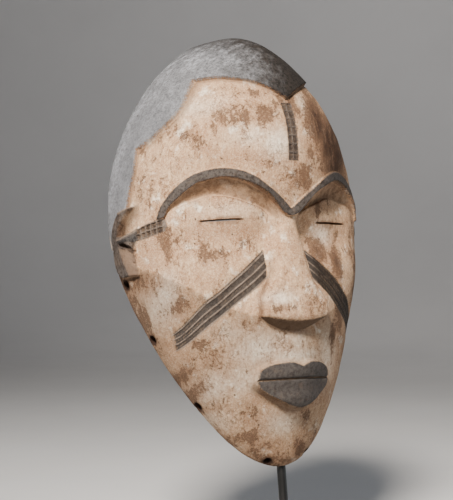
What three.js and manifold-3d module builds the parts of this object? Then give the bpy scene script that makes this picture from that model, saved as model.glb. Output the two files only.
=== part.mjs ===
// A carved wooden face mask on a plain metal stand. Millimetres, +Z up, the face looks along -Y.
// The mask is drawn in its own frame, upright: x to the viewer's right, f forward, z up, with the
// middle of its height at z = 0 and its back rim at f = 0. A group then leans it back on its stand.
import * as THREE from 'three';
import { mergeVertices } from 'three/addons/utils/BufferGeometryUtils.js';
import Module from 'manifold-3d';

const wasm = await Module();
wasm.setup();

// The head is an egg cut off at the back. Each list is a size at mid height, and how it changes
// towards the crown (rise = 1) and the chin (rise = -1), in powers of the rise.
const HALF_HEIGHT = 149.5;
const HALF_WIDTH = [90.3, 16.4, -20.4, -19.8];
const DEPTH = [78, 41, 10.7, 17.3];
const SQUARENESS = [2.48, -0.23, -0.78];
// Below the ears the rim comes forward to the chin
const RIM_START = 0.15;
const RIM_SWEEP = [0, 0, 74.6, -47.6, 12.9];
const WALL = 10;
const LEAN = THREE.MathUtils.degToRad(7.6);

// Broad swellings of the face: middle, spread across, spread up, height
const FOREHEAD = { x: 0, z: 52, wide: 34, tall: 32, height: 4.2 };
const MUZZLE = { x: 0, z: -90, wide: 22, tall: 30, height: 9.8 };
const CHEEKBONE = { x: 62, z: -14, wide: 20, tall: 24, height: 2.9 };
const TEMPLE = { x: 55, z: 36, wide: 20, tall: 24, height: -5.5 };

// How far each carved layer stands out of the face, or is cut into it. The face dips down from the
// hair along its edge and comes back to the egg over a short way.
const HAIR_STEP = 2.2;
const HAIR_DIP_WIDTH = 20;
const BROW_RAISED = 2.6;
const LID_RAISED = 2.2;
const LIP_RAISED = 6;
const LIP_PARTING = 3.5;
const LOWER_LIP_SWELL = 2.4;
const EAR_RAISED = 2.8;
const LOBE_RAISED = 2.6;
const EAR_SCOOP = 1.6;
const SOCKET_DEPTH = 9;
const BAND_DEPTH = 1.3;
const NOTCH_DEPTH = 1.1;

// Outlines from the middle line outwards, as [x, z] seen from the front
const BROW_TOP = [[0, 18.5], [3.4, 21], [10, 26.3], [18.6, 32.4], [28, 39], [39, 43.6], [49.5, 44.9],
  [60, 42.4], [68, 37.4], [75.5, 27.8], [80.3, 15.6]];
const BROW_FOOT = [[0, 13.5], [6.4, 15.8], [10.7, 20.4], [18.2, 27.8], [28, 33.6], [39, 38], [47, 38.9],
  [57.5, 37.2], [68, 32], [74.3, 25], [79.3, 15.4]];
const LID_FOLD = [[10.6, 13.6], [17, 18.8], [27.5, 22.8], [36.4, 26.2], [44.3, 28], [51.5, 27.8],
  [60.8, 25.2], [68.6, 22.4], [76.6, 17.6]];
const HAIRLINE = [[0, 90.6], [9, 96.5], [20, 102.6], [30, 106.2], [37, 108.6], [45.4, 109.6],
  [51.2, 101.2], [59.8, 88.3], [67.8, 79.3], [71.5, 74.9], [77.6, 68.5], [80.2, 65.9]];
const LIP_TOP = [[0, -85.2], [4, -83.6], [8, -82.5], [13, -83.3], [19, -85.6], [24.4, -89.2]];
const LIP_FOOT = [[24.2, -96.5], [19, -103.5], [9, -110.3], [0, -111.8]];
const MOUTH_HEIGHT = -94.5;
const MOUTH_GAP = 1.2;
const MOUTH_CORNER = 24.8;
const FACE_FOOT = -30;
const SOCKET_FOOT = [[84, 13], [80, -8], [62, -28], [30, -28], [3, -14]];
const LID_FOOT = [[76, 4], [60, -5], [30, -6], [12, 2]];

// Outlines on the side of the head, as [f, z]: the strip of hair in front of the rim, and the ear
// with its upper scoop, its slanting notch and its lower lobe
const SIDEBURN_EDGE = [[24, 22], [25.5, 38], [27, 52], [25, 68]];
const SIDEBURN = [[-5, 22], ...SIDEBURN_EDGE, [-5, 68]];
const EAR = [[13, 24], [20, 25.6], [30, 25.4], [31, 12], [32, 3], [31, -2.5], [31, -17.5], [22, -19.5],
  [13, -18.8], [7.5, -13], [3, 0], [4.5, 9], [8.5, 16.5]];
const EAR_UPPER_SCOOP = [[16, 20.5], [24, 22.6], [32, 22], [32, 12], [22, 9.2], [13.5, 8.5], [12.8, 15]];
const EAR_NOTCH = [[14, 4.4], [20, 3.2], [32, -1], [32, -4.2], [22, 0.2]];
const EAR_LOBE = [[15, 0.2], [31, -4.2], [31, -17.5], [22, -19.5], [13, -18.8]];

// The nose from its root to the foot of its underside: height, half width of its flat front and
// how far forward that lies at its middle and its edges, half width where it meets the face
const NOSE = [
  [19, 2, 83, 82.5, 6], [8, 4, 83, 82, 13.5], [-8, 6, 84.2, 82.8, 18.2], [-20, 9, 85.6, 84, 20.4],
  [-29, 12.4, 87, 85, 21.8], [-36, 18.5, 88, 85.5, 23.4], [-43, 23.3, 88.4, 85.4, 24.4],
  [-50, 23.4, 87.6, 84.2, 24.6], [-56.5, 14, 82, 80.5, 20], [-64, 3, 77, 76, 9],
];
const NOSE_ROOT_DEPTH = 55;
const NOSE_SIDE_FALL = 7;

// The eye slits, cut right through
const SLIT_INNER = 30.5;
const SLIT_OUTER = 58.5;
const SLIT_HEIGHT = 1.6;
const SLIT_MIDDLE = 12;

// Marks of rank: three long grooves across each cheek, and small square notches in rows
// on the forehead and between brow and ear. Corners run along the top edge, then the foot.
const BAND = { corners: [[26, -15.4], [70.6, -58.8], [25, -33], [67.4, -70]], rows: 3, columns: 1, ribs: [0, 0.2] };
const LADDER = { corners: [[-4, 87.5], [-4, 48.5], [4, 87.5], [4, 48.5]], rows: 2, columns: 7, ribs: [0.22, 0.22] };
const TEMPLE_NOTCHES = {
  corners: [[52, 13.4], [36, 11.6], [52, 6.9], [36, 4.6]], rows: 2, columns: 5, ribs: [0.25, 0.25],
};

// Round holes through the rim for a costume, as [rise, degrees from the rim], on both sides
const HOLES = [[-0.16, 7], [-0.41, 7], [-0.715, 8], [-0.965, 34]];
const HOLE_DIAMETER = 7.8;
const HOLE_SIDES = 8;

// The stand: a round rod close behind the chin, a short crosspiece inside the crown, a flat foot
const ROD_DIAMETER = 6;
const ROD_X = 2.8;
const ROD_FORWARD = 46.6;
const ROD_SIDES = 16;
const CROSSPIECE_HALF_LENGTH = 22;
const CROSSPIECE_HEIGHT = 111;
const FOOT_WIDTH = 150;
const FOOT_DEPTH = 120;
const FOOT_THICKNESS = 8;
const FOOT_CORNER = 6;
const CHIN_ABOVE_FOOT = 60;
const FOOT_BEVEL = 0.8;
const MASK_BEHIND_FOOT = 50;
const ROD_SEAT_WIDTH = 16;
const ROD_SEAT_HEIGHT = 40;
const CLEARANCE = 0.3;

// How finely the head is divided, from chin to crown and from rim to rim
const ROWS = 34;
const COLUMNS = 28;
const SOCKET = { rows: 56, columns: 44 };
const LAYER = { rows: 24, columns: 24 };
const INSIDE = { rows: 20, columns: 18 };
// How far the outlines reach into the wood
const CARVING_BACK = 3;
const CARVING_REACH = 140;
const SIDE_START = 60;
const SIDE_REACH = 60;
const SIDES = [1, -1];

function series(coefficients, t) {
  return coefficients.reduceRight((sum, coefficient) => sum * t + coefficient, 0);
}

function smoothstep(from, to, value) {
  return THREE.MathUtils.smoothstep(value, from, to);
}

function swelling(form, x, z) {
  const across = (Math.abs(x) - form.x) / form.wide;
  const up = (z - form.z) / form.tall;
  return form.height * Math.exp(-across * across - up * up);
}

function heightAt(outline, x) {
  const next = outline.findIndex((point) => point[0] >= x);
  if (next === 0) return outline[0][1];
  if (next < 0) return outline.at(-1)[1];
  const [x0, z0] = outline[next - 1];
  const [x1, z1] = outline[next];
  return z0 + ((z1 - z0) * (x - x0)) / (x1 - x0);
}

// The hollow of the eyes: deepest along the fold over the lid, running out on the cheek
function socket(x, z) {
  const side = Math.abs(x);
  const across = smoothstep(3, 16, side) * (1 - smoothstep(44, 88, side));
  const fold = heightAt(LID_FOLD, side);
  const brow = heightAt(BROW_FOOT, side);
  const underBrow = 1 - 0.65 * smoothstep(fold, Math.max(brow, fold + 1), z);
  return -SOCKET_DEPTH * across * underBrow * smoothstep(-26, 5, z) * (1 - smoothstep(brow, brow + 9, z));
}

// The closed lid stands out of the hollow, most along the fold, and runs out below the slit
function lidSwelling(x, z) {
  const side = Math.abs(x);
  const across = smoothstep(8, 20, side) * (1 - smoothstep(62, 77, side));
  return LID_RAISED * across * smoothstep(-3, 20, z);
}

// A point of the egg: rise runs from chin to crown, turn from rim to rim across the face
function eggPoint(rise, turn, depthOf) {
  const level = Math.sqrt(Math.max(0, 1 - rise * rise));
  const squareness = series(SQUARENESS, rise);
  const sine = Math.abs(Math.sin(turn));
  const cosine = Math.abs(Math.cos(turn));
  const reach = level / Math.pow(sine ** squareness + cosine ** squareness, 1 / squareness);
  const x = series(HALF_WIDTH, rise) * reach * Math.sin(turn);
  const z = HALF_HEIGHT * rise;
  const rim = series(RIM_SWEEP, Math.max(0, RIM_START - rise));
  const forms = [FOREHEAD, MUZZLE, CHEEKBONE, TEMPLE].reduce((sum, form) => sum + swelling(form, x, z), 0);
  const f = rim + series(DEPTH, rise) * reach * cosine + (forms + depthOf(x, z)) * Math.min(1, 3 * cosine);
  return new THREE.Vector3(x, -f, z);
}

function eggNormal(rise, turn, depthOf) {
  const step = 0.004;
  const middle = THREE.MathUtils.clamp(rise, -1 + 3 * step, 1 - 3 * step);
  const up = eggPoint(middle + step, turn, depthOf).sub(eggPoint(middle - step, turn, depthOf));
  const across = eggPoint(middle, turn + step, depthOf).sub(eggPoint(middle, turn - step, depthOf));
  return across.cross(up).normalize();
}

// Rings of points from one end to the other, closed by a point at each end
function loftBetween(startPoint, rings, endPoint) {
  const count = rings[0].length;
  const points = [startPoint, ...rings.flat(), endPoint];
  const faces = [];
  const last = points.length - 1;
  const index = (ring, place) => 1 + ring * count + (place % count);
  for (let place = 0; place < count; place += 1) {
    faces.push(0, index(0, place + 1), index(0, place));
    faces.push(last, index(rings.length - 1, place), index(rings.length - 1, place + 1));
    for (let ring = 0; ring < rings.length - 1; ring += 1) {
      const [a, b] = [index(ring, place), index(ring, place + 1)];
      const [c, d] = [index(ring + 1, place), index(ring + 1, place + 1)];
      faces.push(a, b, d, a, d, c);
    }
  }
  const geometry = new THREE.BufferGeometry().setFromPoints(points);
  geometry.setIndex(faces);
  return geometry;
}

function toSolid(geometry) {
  const bare = geometry.clone();
  bare.deleteAttribute('normal');
  bare.deleteAttribute('uv');
  const merged = mergeVertices(bare, 1e-4);
  return new wasm.Manifold(new wasm.Mesh({
    numProp: 3,
    vertProperties: new Float32Array(merged.attributes.position.array),
    triVerts: new Uint32Array(merged.index.array),
  }));
}

function toGeometry(solid) {
  const mesh = solid.getMesh();
  const geometry = new THREE.BufferGeometry();
  geometry.setAttribute('position', new THREE.BufferAttribute(mesh.vertProperties, 3));
  geometry.setIndex(new THREE.BufferAttribute(mesh.triVerts, 1));
  return geometry;
}

// The whole head as one closed solid, pushed out along its normals by liftOf and forward by depthOf.
// With open > 0 the back runs on behind the rim by that much, as a cutter needs.
function headSolid({ liftOf = () => 0, depthOf = () => 0, open = 0, rows = ROWS, columns = COLUMNS }) {
  const place = (rise, turn) => {
    const point = eggPoint(rise, turn, depthOf);
    return point.addScaledVector(eggNormal(rise, turn, depthOf), liftOf(point));
  };
  const rings = [];
  for (let row = 1; row < rows; row += 1) {
    const rise = -Math.cos((Math.PI * row) / rows);
    const ring = [];
    for (let column = 0; column <= columns; column += 1) {
      ring.push(place(rise, Math.PI * (column / columns - 0.5)));
    }
    const [left, right] = [ring[0], ring.at(-1)];
    if (open > 0) ring.push(right.clone().setY(right.y + open), left.clone().setY(left.y + open));
    rings.push(ring);
  }
  const [chin, crown] = [eggPoint(-1, 0, depthOf), eggPoint(1, 0, depthOf)];
  chin.z -= liftOf(chin);
  crown.z += liftOf(crown);
  return toSolid(loftBetween(chin, rings, crown));
}

// A prism along the line of sight, or across the head for outlines drawn from the side
function frontPrism(outline) {
  const shape = new THREE.Shape(outline.map(([x, z]) => new THREE.Vector2(x, z)));
  const prism = new THREE.ExtrudeGeometry(shape, { depth: CARVING_REACH, bevelEnabled: false });
  prism.rotateX(Math.PI / 2);
  return toSolid(prism.translate(0, CARVING_BACK, 0));
}

function sidePrism(outline, side) {
  const shape = new THREE.Shape(outline.map(([f, z]) => new THREE.Vector2(-f, z)));
  const prism = new THREE.ExtrudeGeometry(shape, { depth: SIDE_REACH, bevelEnabled: false });
  const [across, up, out] = [[0, 1, 0], [0, 0, 1], [1, 0, 0]].map((axis) => new THREE.Vector3(...axis));
  prism.applyMatrix4(new THREE.Matrix4().makeBasis(across, up, out));
  return toSolid(prism.translate(side > 0 ? SIDE_START : -SIDE_START - SIDE_REACH, 0, 0));
}

function mirrored(outline, side) {
  return outline.map(([x, z]) => [x * side, z]);
}

// One outline raised on the wood, or cut down into it, to the surface of another head solid
function raise(wood, prism, level) {
  return wood.add(prism.intersect(level));
}

function carve(wood, prism, level) {
  return wood.subtract(prism.subtract(level));
}

function distanceTo(line, x, z) {
  const point = new THREE.Vector2(x, z);
  const distances = line.slice(1).map((end, index) => {
    const start = new THREE.Vector2(...line[index]);
    const along = new THREE.Vector2(...end).sub(start);
    const share = THREE.MathUtils.clamp(point.clone().sub(start).dot(along) / along.lengthSq(), 0, 1);
    return start.addScaledVector(along, share).distanceTo(point);
  });
  return Math.min(...distances);
}

// The hair is the egg itself, and the face is cut down from its edge
function faceLift(point) {
  const front = distanceTo(HAIRLINE, Math.abs(point.x), point.z);
  const fromHair = Math.min(front, distanceTo(SIDEBURN_EDGE, -point.y, point.z));
  return -HAIR_STEP * (1 - smoothstep(0, HAIR_DIP_WIDTH, fromHair));
}

function carveHairEdge(wood) {
  const level = headSolid({ liftOf: faceLift });
  const below = [...HAIRLINE, [100, HAIRLINE.at(-1)[1]], [100, FACE_FOOT], [0, FACE_FOOT]];
  let face = frontPrism(below).add(frontPrism(mirrored(below, -1)));
  for (const side of SIDES) face = face.subtract(sidePrism(SIDEBURN, side));
  return carve(wood, face, level);
}

function carveEyes(wood) {
  const floor = headSolid({ depthOf: socket, ...SOCKET });
  const lid = headSolid({ depthOf: (x, z) => socket(x, z) + lidSwelling(x, z), ...SOCKET });
  let result = wood;
  for (const side of SIDES) {
    result = carve(result, frontPrism(mirrored([...BROW_FOOT, ...SOCKET_FOOT], side)), floor);
    result = raise(result, frontPrism(mirrored([...LID_FOLD, ...LID_FOOT], side)), lid);
  }
  return result;
}

function raiseBrows(wood) {
  const level = headSolid({ liftOf: () => BROW_RAISED, ...LAYER });
  const outline = [...BROW_TOP, ...BROW_FOOT.toReversed()];
  return SIDES.reduce((sum, side) => raise(sum, frontPrism(mirrored(outline, side)), level), wood);
}

function raiseNose(wood) {
  const rings = NOSE.toReversed().map(([z, flat, middle, edge, foot]) => {
    const half = [[flat, edge], [foot, edge - NOSE_SIDE_FALL], [foot, NOSE_ROOT_DEPTH]];
    const right = half.map(([x, f]) => new THREE.Vector3(x, -f, z));
    const left = half.toReversed().map(([x, f]) => new THREE.Vector3(-x, -f, z));
    return [new THREE.Vector3(0, -middle, z), ...right, ...left];
  });
  const [top, foot] = [NOSE[0], NOSE.at(-1)];
  const above = new THREE.Vector3(0, -NOSE_ROOT_DEPTH, top[0] + 1);
  const below = new THREE.Vector3(0, -NOSE_ROOT_DEPTH, foot[0] - 1);
  return wood.add(toSolid(loftBetween(below, rings, above)));
}

function bothSides(outline) {
  return [...outline, ...mirrored(outline, -1).reverse()];
}

function raiseLips(wood) {
  const lowerLip = (x, z) => smoothstep(-101, -108, z) * (1 - smoothstep(8, 24, Math.abs(x)));
  const level = headSolid({ depthOf: (x, z) => LIP_RAISED + LOWER_LIP_SWELL * lowerLip(x, z), ...LAYER });
  const parting = headSolid({ depthOf: () => LIP_PARTING, ...LAYER });
  const [upperEdge, lowerEdge] = [MOUTH_HEIGHT + MOUTH_GAP / 2, MOUTH_HEIGHT - MOUTH_GAP / 2];
  const upper = bothSides([...LIP_TOP, [MOUTH_CORNER, upperEdge]]);
  const lower = bothSides([[MOUTH_CORNER, lowerEdge], ...LIP_FOOT]);
  const between = bothSides([...LIP_TOP, [MOUTH_CORNER, MOUTH_HEIGHT], ...LIP_FOOT]);
  const lips = frontPrism(upper).add(frontPrism(lower));
  return raise(raise(wood, frontPrism(between), parting), lips, level);
}

function raiseEars(wood) {
  const wedge = (point) => 1 - smoothstep(16, 32, -point.y);
  const level = headSolid({ liftOf: (point) => EAR_RAISED * wedge(point), ...LAYER });
  const floor = headSolid({ liftOf: (point) => -EAR_SCOOP * wedge(point), ...LAYER });
  const lobe = headSolid({ liftOf: () => LOBE_RAISED, ...LAYER });
  let result = wood;
  for (const side of SIDES) {
    result = raise(result, sidePrism(EAR, side), level);
    result = raise(result, sidePrism(EAR_LOBE, side), lobe);
    result = carve(result, sidePrism(EAR_UPPER_SCOOP, side).add(sidePrism(EAR_NOTCH, side)), floor);
  }
  return result;
}

// A four-cornered patch cut into rows and columns of notches, with narrow ribs left between them
function notches({ corners, rows, columns, ribs: [alongRib, acrossRib] }, prismOf) {
  const at = (along, across) => [0, 1].map((axis) => {
    const top = THREE.MathUtils.lerp(corners[0][axis], corners[1][axis], along);
    const foot = THREE.MathUtils.lerp(corners[2][axis], corners[3][axis], along);
    return THREE.MathUtils.lerp(top, foot, across);
  });
  const prisms = [];
  for (let row = 0; row < rows; row += 1) {
    for (let column = 0; column < columns; column += 1) {
      const [left, right] = [column + alongRib / 2, column + 1 - alongRib / 2].map((place) => place / columns);
      const [top, foot] = [row + acrossRib / 2, row + 1 - acrossRib / 2].map((place) => place / rows);
      prisms.push(prismOf([at(left, top), at(right, top), at(right, foot), at(left, foot)]));
    }
  }
  return prisms.reduce((sum, prism) => sum.add(prism));
}

function cutMarks(wood) {
  const bandFloor = headSolid({ liftOf: () => -BAND_DEPTH, ...LAYER });
  const notchFloor = headSolid({ liftOf: (point) => faceLift(point) - NOTCH_DEPTH });
  let result = carve(wood, notches(LADDER, frontPrism), notchFloor);
  for (const side of SIDES) {
    result = carve(result, notches(BAND, (cell) => frontPrism(mirrored(cell, side))), bandFloor);
    result = carve(result, notches(TEMPLE_NOTCHES, (cell) => sidePrism(cell, side)), notchFloor);
  }
  return result;
}

function cutSlits(wood) {
  return SIDES.reduce((sum, side) => {
    const slit = new THREE.BoxGeometry(SLIT_OUTER - SLIT_INNER, 90, SLIT_HEIGHT);
    slit.translate((side * (SLIT_OUTER + SLIT_INNER)) / 2, -70, SLIT_MIDDLE);
    return sum.subtract(toSolid(slit));
  }, wood);
}

function cutRimHoles(wood) {
  let result = wood;
  for (const [rise, fromRim] of HOLES) {
    for (const side of SIDES) {
      const turn = side * THREE.MathUtils.degToRad(90 - fromRim);
      const hole = new THREE.CylinderGeometry(HOLE_DIAMETER / 2, HOLE_DIAMETER / 2, 4 * WALL, HOLE_SIDES);
      const outward = eggNormal(rise, turn, () => 0);
      hole.applyQuaternion(new THREE.Quaternion().setFromUnitVectors(new THREE.Vector3(0, 1, 0), outward));
      result = result.subtract(toSolid(hole.translate(...eggPoint(rise, turn, () => 0))));
    }
  }
  return result;
}

function hollowOut(wood) {
  const inside = headSolid({ liftOf: () => -WALL, depthOf: socket, open: 40, ...INSIDE });
  const rodFront = ROD_FORWARD + ROD_DIAMETER / 2 + CLEARANCE;
  const seat = new THREE.BoxGeometry(ROD_SEAT_WIDTH, rodFront, ROD_SEAT_HEIGHT);
  seat.translate(ROD_X, -rodFront / 2, -HALF_HEIGHT);
  return wood.subtract(inside).subtract(toSolid(seat));
}

function maskGeometry() {
  const steps = [carveHairEdge, carveEyes, raiseBrows, raiseNose, raiseLips, raiseEars, cutMarks];
  const carved = steps.reduce((wood, step) => step(wood), headSolid({}));
  return toGeometry(cutSlits(cutRimHoles(hollowOut(carved))));
}

// The rod leans back with the mask; its lower end is cut level just above the foot
function rodGeometry(lowest) {
  const length = CROSSPIECE_HEIGHT - lowest + 30;
  const rod = new THREE.CylinderGeometry(ROD_DIAMETER / 2, ROD_DIAMETER / 2, length, ROD_SIDES);
  rod.rotateX(Math.PI / 2).translate(ROD_X, -ROD_FORWARD, CROSSPIECE_HEIGHT - length / 2);
  const bar = new THREE.CylinderGeometry(ROD_DIAMETER / 2, ROD_DIAMETER / 2, 2 * CROSSPIECE_HALF_LENGTH, ROD_SIDES);
  bar.rotateZ(Math.PI / 2).translate(ROD_X, -ROD_FORWARD, CROSSPIECE_HEIGHT);
  const below = new THREE.BoxGeometry(100, 200, 100);
  below.applyMatrix4(new THREE.Matrix4().makeRotationX(LEAN));
  const floorPoint = new THREE.Vector3(0, -ROD_FORWARD, lowest);
  const down = new THREE.Vector3(0, Math.sin(LEAN), -Math.cos(LEAN)).multiplyScalar(50);
  below.translate(...floorPoint.add(down));
  return toGeometry(toSolid(rod).add(toSolid(bar)).subtract(toSolid(below)));
}

function footGeometry() {
  const [x, y, r] = [FOOT_WIDTH / 2, FOOT_DEPTH / 2, FOOT_CORNER];
  const outline = new THREE.Shape();
  outline.absarc(x - r, y - r, r, 0, Math.PI / 2);
  outline.absarc(-x + r, y - r, r, Math.PI / 2, Math.PI);
  outline.absarc(-x + r, -y + r, r, Math.PI, 1.5 * Math.PI);
  outline.absarc(x - r, -y + r, r, 1.5 * Math.PI, 2 * Math.PI);
  const bevel = { bevelThickness: FOOT_BEVEL, bevelSize: FOOT_BEVEL, bevelOffset: -FOOT_BEVEL, bevelSegments: 1 };
  const depth = FOOT_THICKNESS - 2 * FOOT_BEVEL;
  return new THREE.ExtrudeGeometry(outline, { depth, curveSegments: 3, ...bevel }).translate(0, 0, FOOT_BEVEL);
}

function named(name, geometry, color, roughness, metalness) {
  const mesh = new THREE.Mesh(geometry, new THREE.MeshStandardMaterial({ color, roughness, metalness }));
  mesh.name = name;
  return mesh;
}

// The leaning group's height and the rod's lowest point follow from the clear height under the chin
const chinForward = series(RIM_SWEEP, RIM_START + 1);
const chinDrop = HALF_HEIGHT * Math.cos(LEAN) - chinForward * Math.sin(LEAN);
const maskMiddle = FOOT_THICKNESS + CHIN_ABOVE_FOOT + chinDrop;
const rodDrop = maskMiddle - FOOT_THICKNESS - CLEARANCE + ROD_FORWARD * Math.sin(LEAN);

const leaning = new THREE.Group();
leaning.rotation.x = -LEAN;
leaning.position.set(0, MASK_BEHIND_FOOT, maskMiddle);
leaning.add(named('mask', maskGeometry(), 0xc9b29a, 0.8, 0));
leaning.add(named('stand_rod', rodGeometry(-rodDrop / Math.cos(LEAN)), 0x17181a, 0.5, 0.6));

const part = new THREE.Group();
part.add(leaning, named('stand_foot', footGeometry(), 0x17181a, 0.5, 0.6));
export default part;
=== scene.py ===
# %% [markdown]
# # A carved face mask on its stand
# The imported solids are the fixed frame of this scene. The lesson puts the looks round them: it
# carves the mask again as a fine mesh, paints it with worn white clay and dark pigment, and
# finishes the steel stand. Lengths are millimetres in the mask's own upright frame, as a carver
# would measure them: x to the viewer's right, f forward, z up. They become metres in the
# frame's axes only when a mesh is finished.

# %% The frame
import math
from functools import partial, reduce

import bmesh
import bpy
import numpy as np
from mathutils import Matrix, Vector, kdtree


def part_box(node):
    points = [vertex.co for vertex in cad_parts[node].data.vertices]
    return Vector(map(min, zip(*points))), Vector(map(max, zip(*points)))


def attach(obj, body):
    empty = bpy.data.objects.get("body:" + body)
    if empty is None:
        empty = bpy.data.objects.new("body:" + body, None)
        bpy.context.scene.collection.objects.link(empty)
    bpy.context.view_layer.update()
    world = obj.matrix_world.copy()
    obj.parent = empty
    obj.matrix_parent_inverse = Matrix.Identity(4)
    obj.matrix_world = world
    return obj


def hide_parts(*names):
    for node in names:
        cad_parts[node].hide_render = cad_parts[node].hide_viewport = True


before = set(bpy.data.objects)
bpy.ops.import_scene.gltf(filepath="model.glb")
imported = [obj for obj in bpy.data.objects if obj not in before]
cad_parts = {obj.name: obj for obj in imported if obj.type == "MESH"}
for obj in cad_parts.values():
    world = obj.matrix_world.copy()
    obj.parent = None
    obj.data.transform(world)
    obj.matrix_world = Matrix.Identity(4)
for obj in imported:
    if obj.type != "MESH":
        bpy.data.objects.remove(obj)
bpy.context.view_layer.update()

MM = 0.001

# %% [markdown]
# ## The camera
# The photograph looks at the mask a little from its left, level with its middle. The camera
# comes first, so that every later choice can be looked at through it. Its focal length is
# measured in pixels, and the sensor's long side is the picture's height.

# %% The camera
IMAGE_HEIGHT = 500
FOCAL_PIXELS = 1400.57
SENSOR = 36
CAMERA_PLACE = Vector((-535.3, -778.0, 211.2)) * MM
CAMERA_TURN = math.radians(-33)


def link(name, data):
    made = bpy.data.objects.new(name, data)
    bpy.context.scene.collection.objects.link(made)
    return made


camera_data = bpy.data.cameras.new("camera")
camera_data.sensor_width = SENSOR
camera_data.lens = FOCAL_PIXELS * SENSOR / IMAGE_HEIGHT
camera = link("camera", camera_data)
camera.location = CAMERA_PLACE
camera.rotation_euler = (math.pi / 2, 0, CAMERA_TURN)
bpy.context.scene.camera = camera
print("camera: lens", round(camera_data.lens, 2))

# %% [markdown]
# ## The room
# A pale round floor turns up into a wall all the way round, as a studio's cove does, so that
# the background is plain from every side. It is turned on a lathe: one profile, spun. The
# light comes from the upper left, large enough to be soft, with weak ones opposite and behind.
# Four lamps that look away from the mask keep the wall pale.

# %% The cove
COVE_FLAT = 1.9
COVE_BEND = 0.9
COVE_TOP = 3.4
COVE_SIDES = 96
BEND_STEPS = 16


def turned(name, profile, sides):
    """A mesh turned about the upright axis from (radius, height) pairs, the first on the axis."""
    shape = bmesh.new()
    centre = shape.verts.new((0, 0, profile[0][1]))
    rings = []
    for radius, height in profile[1:]:
        angles = [2 * math.pi * side / sides for side in range(sides)]
        rings.append([shape.verts.new((radius * math.cos(a), radius * math.sin(a), height)) for a in angles])
    for side in range(sides):
        after = (side + 1) % sides
        shape.faces.new((centre, rings[0][side], rings[0][after]))
        for low, high in zip(rings, rings[1:]):
            shape.faces.new((low[side], high[side], high[after], low[after]))
    for face in shape.faces:
        face.smooth = True
    mesh = bpy.data.meshes.new(name)
    shape.to_mesh(mesh)
    shape.free()
    return link(name, mesh)


bend = [math.pi / 2 * step / BEND_STEPS for step in range(BEND_STEPS + 1)]
profile = [(0, 0), (COVE_FLAT / 2, 0)]
profile += [(COVE_FLAT + COVE_BEND * math.sin(a), COVE_BEND * (1 - math.cos(a))) for a in bend]
profile.append((COVE_FLAT + COVE_BEND, COVE_TOP))
cove = turned("cove", profile, COVE_SIDES)
print("cove:", len(cove.data.polygons), "faces")

# %% The lights
AIM = Vector((0, 0, 0.17))
# Compass angle and height angle from the mask, degrees, distance and size, metres, power, spread, colour
LIGHTS = {
    "key_light": ((-48, 40), 1.7, 0.36, 6.6, 50, (1.0, 0.92, 0.82)),
    "fill_light": ((62, 12), 1.8, 1.2, 2.6, 120, (0.8, 0.9, 1.0)),
    "back_light": ((-140, 40), 1.8, 0.8, 1.2, 90, (0.85, 0.92, 1.0)),
}
WALL_LIGHTS = 4
WALL_LIGHT = (1.9, 1.0, 5.5, 130, (1.0, 0.96, 0.92))
WALL_LIGHT_RISE = 48
WALL_AIM = 1.0
ROOM_COLOUR = (0.8, 0.84, 0.9, 1)
ROOM_STRENGTH = 0.07


def area_light(name, way, distance, size, power, spread, colour, outwards=False):
    turn, rise = (math.radians(angle) for angle in way)
    flat = distance * math.cos(rise)
    place = AIM + Vector((flat * math.sin(turn), -flat * math.cos(turn), distance * math.sin(rise)))
    data = bpy.data.lights.new(name, "AREA")
    data.size = size
    data.energy = power
    data.color = colour
    data.spread = math.radians(spread)
    lamp = link(name, data)
    lamp.location = place
    aim = Vector((2 * place.x, 2 * place.y, WALL_AIM)) if outwards else AIM
    lamp.rotation_euler = (aim - place).to_track_quat("-Z", "Y").to_euler()
    lamp.visible_camera = False


for name, settings in LIGHTS.items():
    area_light(name, *settings)
for place in range(WALL_LIGHTS):
    turn = (place + 0.5) * 360 / WALL_LIGHTS
    area_light(f"wall_light_{place + 1}", (turn, WALL_LIGHT_RISE), *WALL_LIGHT, outwards=True)
world = bpy.data.worlds.new("room")
world.use_nodes = True
room = world.node_tree.nodes["Background"].inputs
room["Color"].default_value = ROOM_COLOUR
room["Strength"].default_value = ROOM_STRENGTH
bpy.context.scene.world = world
print("lights:", len(LIGHTS), "on the mask,", WALL_LIGHTS, "on the wall, and the room")

# %% [markdown]
# ## The head's own form
# The mask is an egg cut off at the back, with a few broad swellings. The same formula as the
# solid's gives every point of it from a direction: a unit vector over the front half of a ball.
# A direction has no poles or seams, which a grid of rows and columns would have at chin and
# crown, so the mesh can be made finer anywhere.

# %% The egg's measures
HALF_HEIGHT = 149.5
HALF_WIDTH = (90.3, 16.4, -20.4, -19.8)
DEPTH = (78, 41, 10.7, 17.3)
SQUARENESS = (2.48, -0.23, -0.78)
RIM_START = 0.15
RIM_SWEEP = (0, 0, 74.6, -47.6, 12.9)
WALL = 10
# Broad swellings: middle across and up, spread across and up, height
SWELLINGS = {
    "forehead": (0, 52, 34, 32, 4.2),
    "muzzle": (0, -90, 22, 30, 9.8),
    "cheekbone": (62, -14, 20, 24, 2.9),
    "temple": (55, 36, 20, 24, -5.5),
}
print("egg:", 2 * HALF_HEIGHT, "mm tall, with", len(SWELLINGS), "swellings")


# %% The egg
def series(coefficients, t):
    return sum(coefficient * t**power for power, coefficient in enumerate(coefficients))


def smoothstep(low, high, value):
    share = np.clip((value - low) / (high - low), 0, 1)
    return share * share * (3 - 2 * share)


def bump(across, up, spread_across, spread_up):
    return np.exp(-((across / spread_across) ** 2) - (up / spread_up) ** 2)


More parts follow.
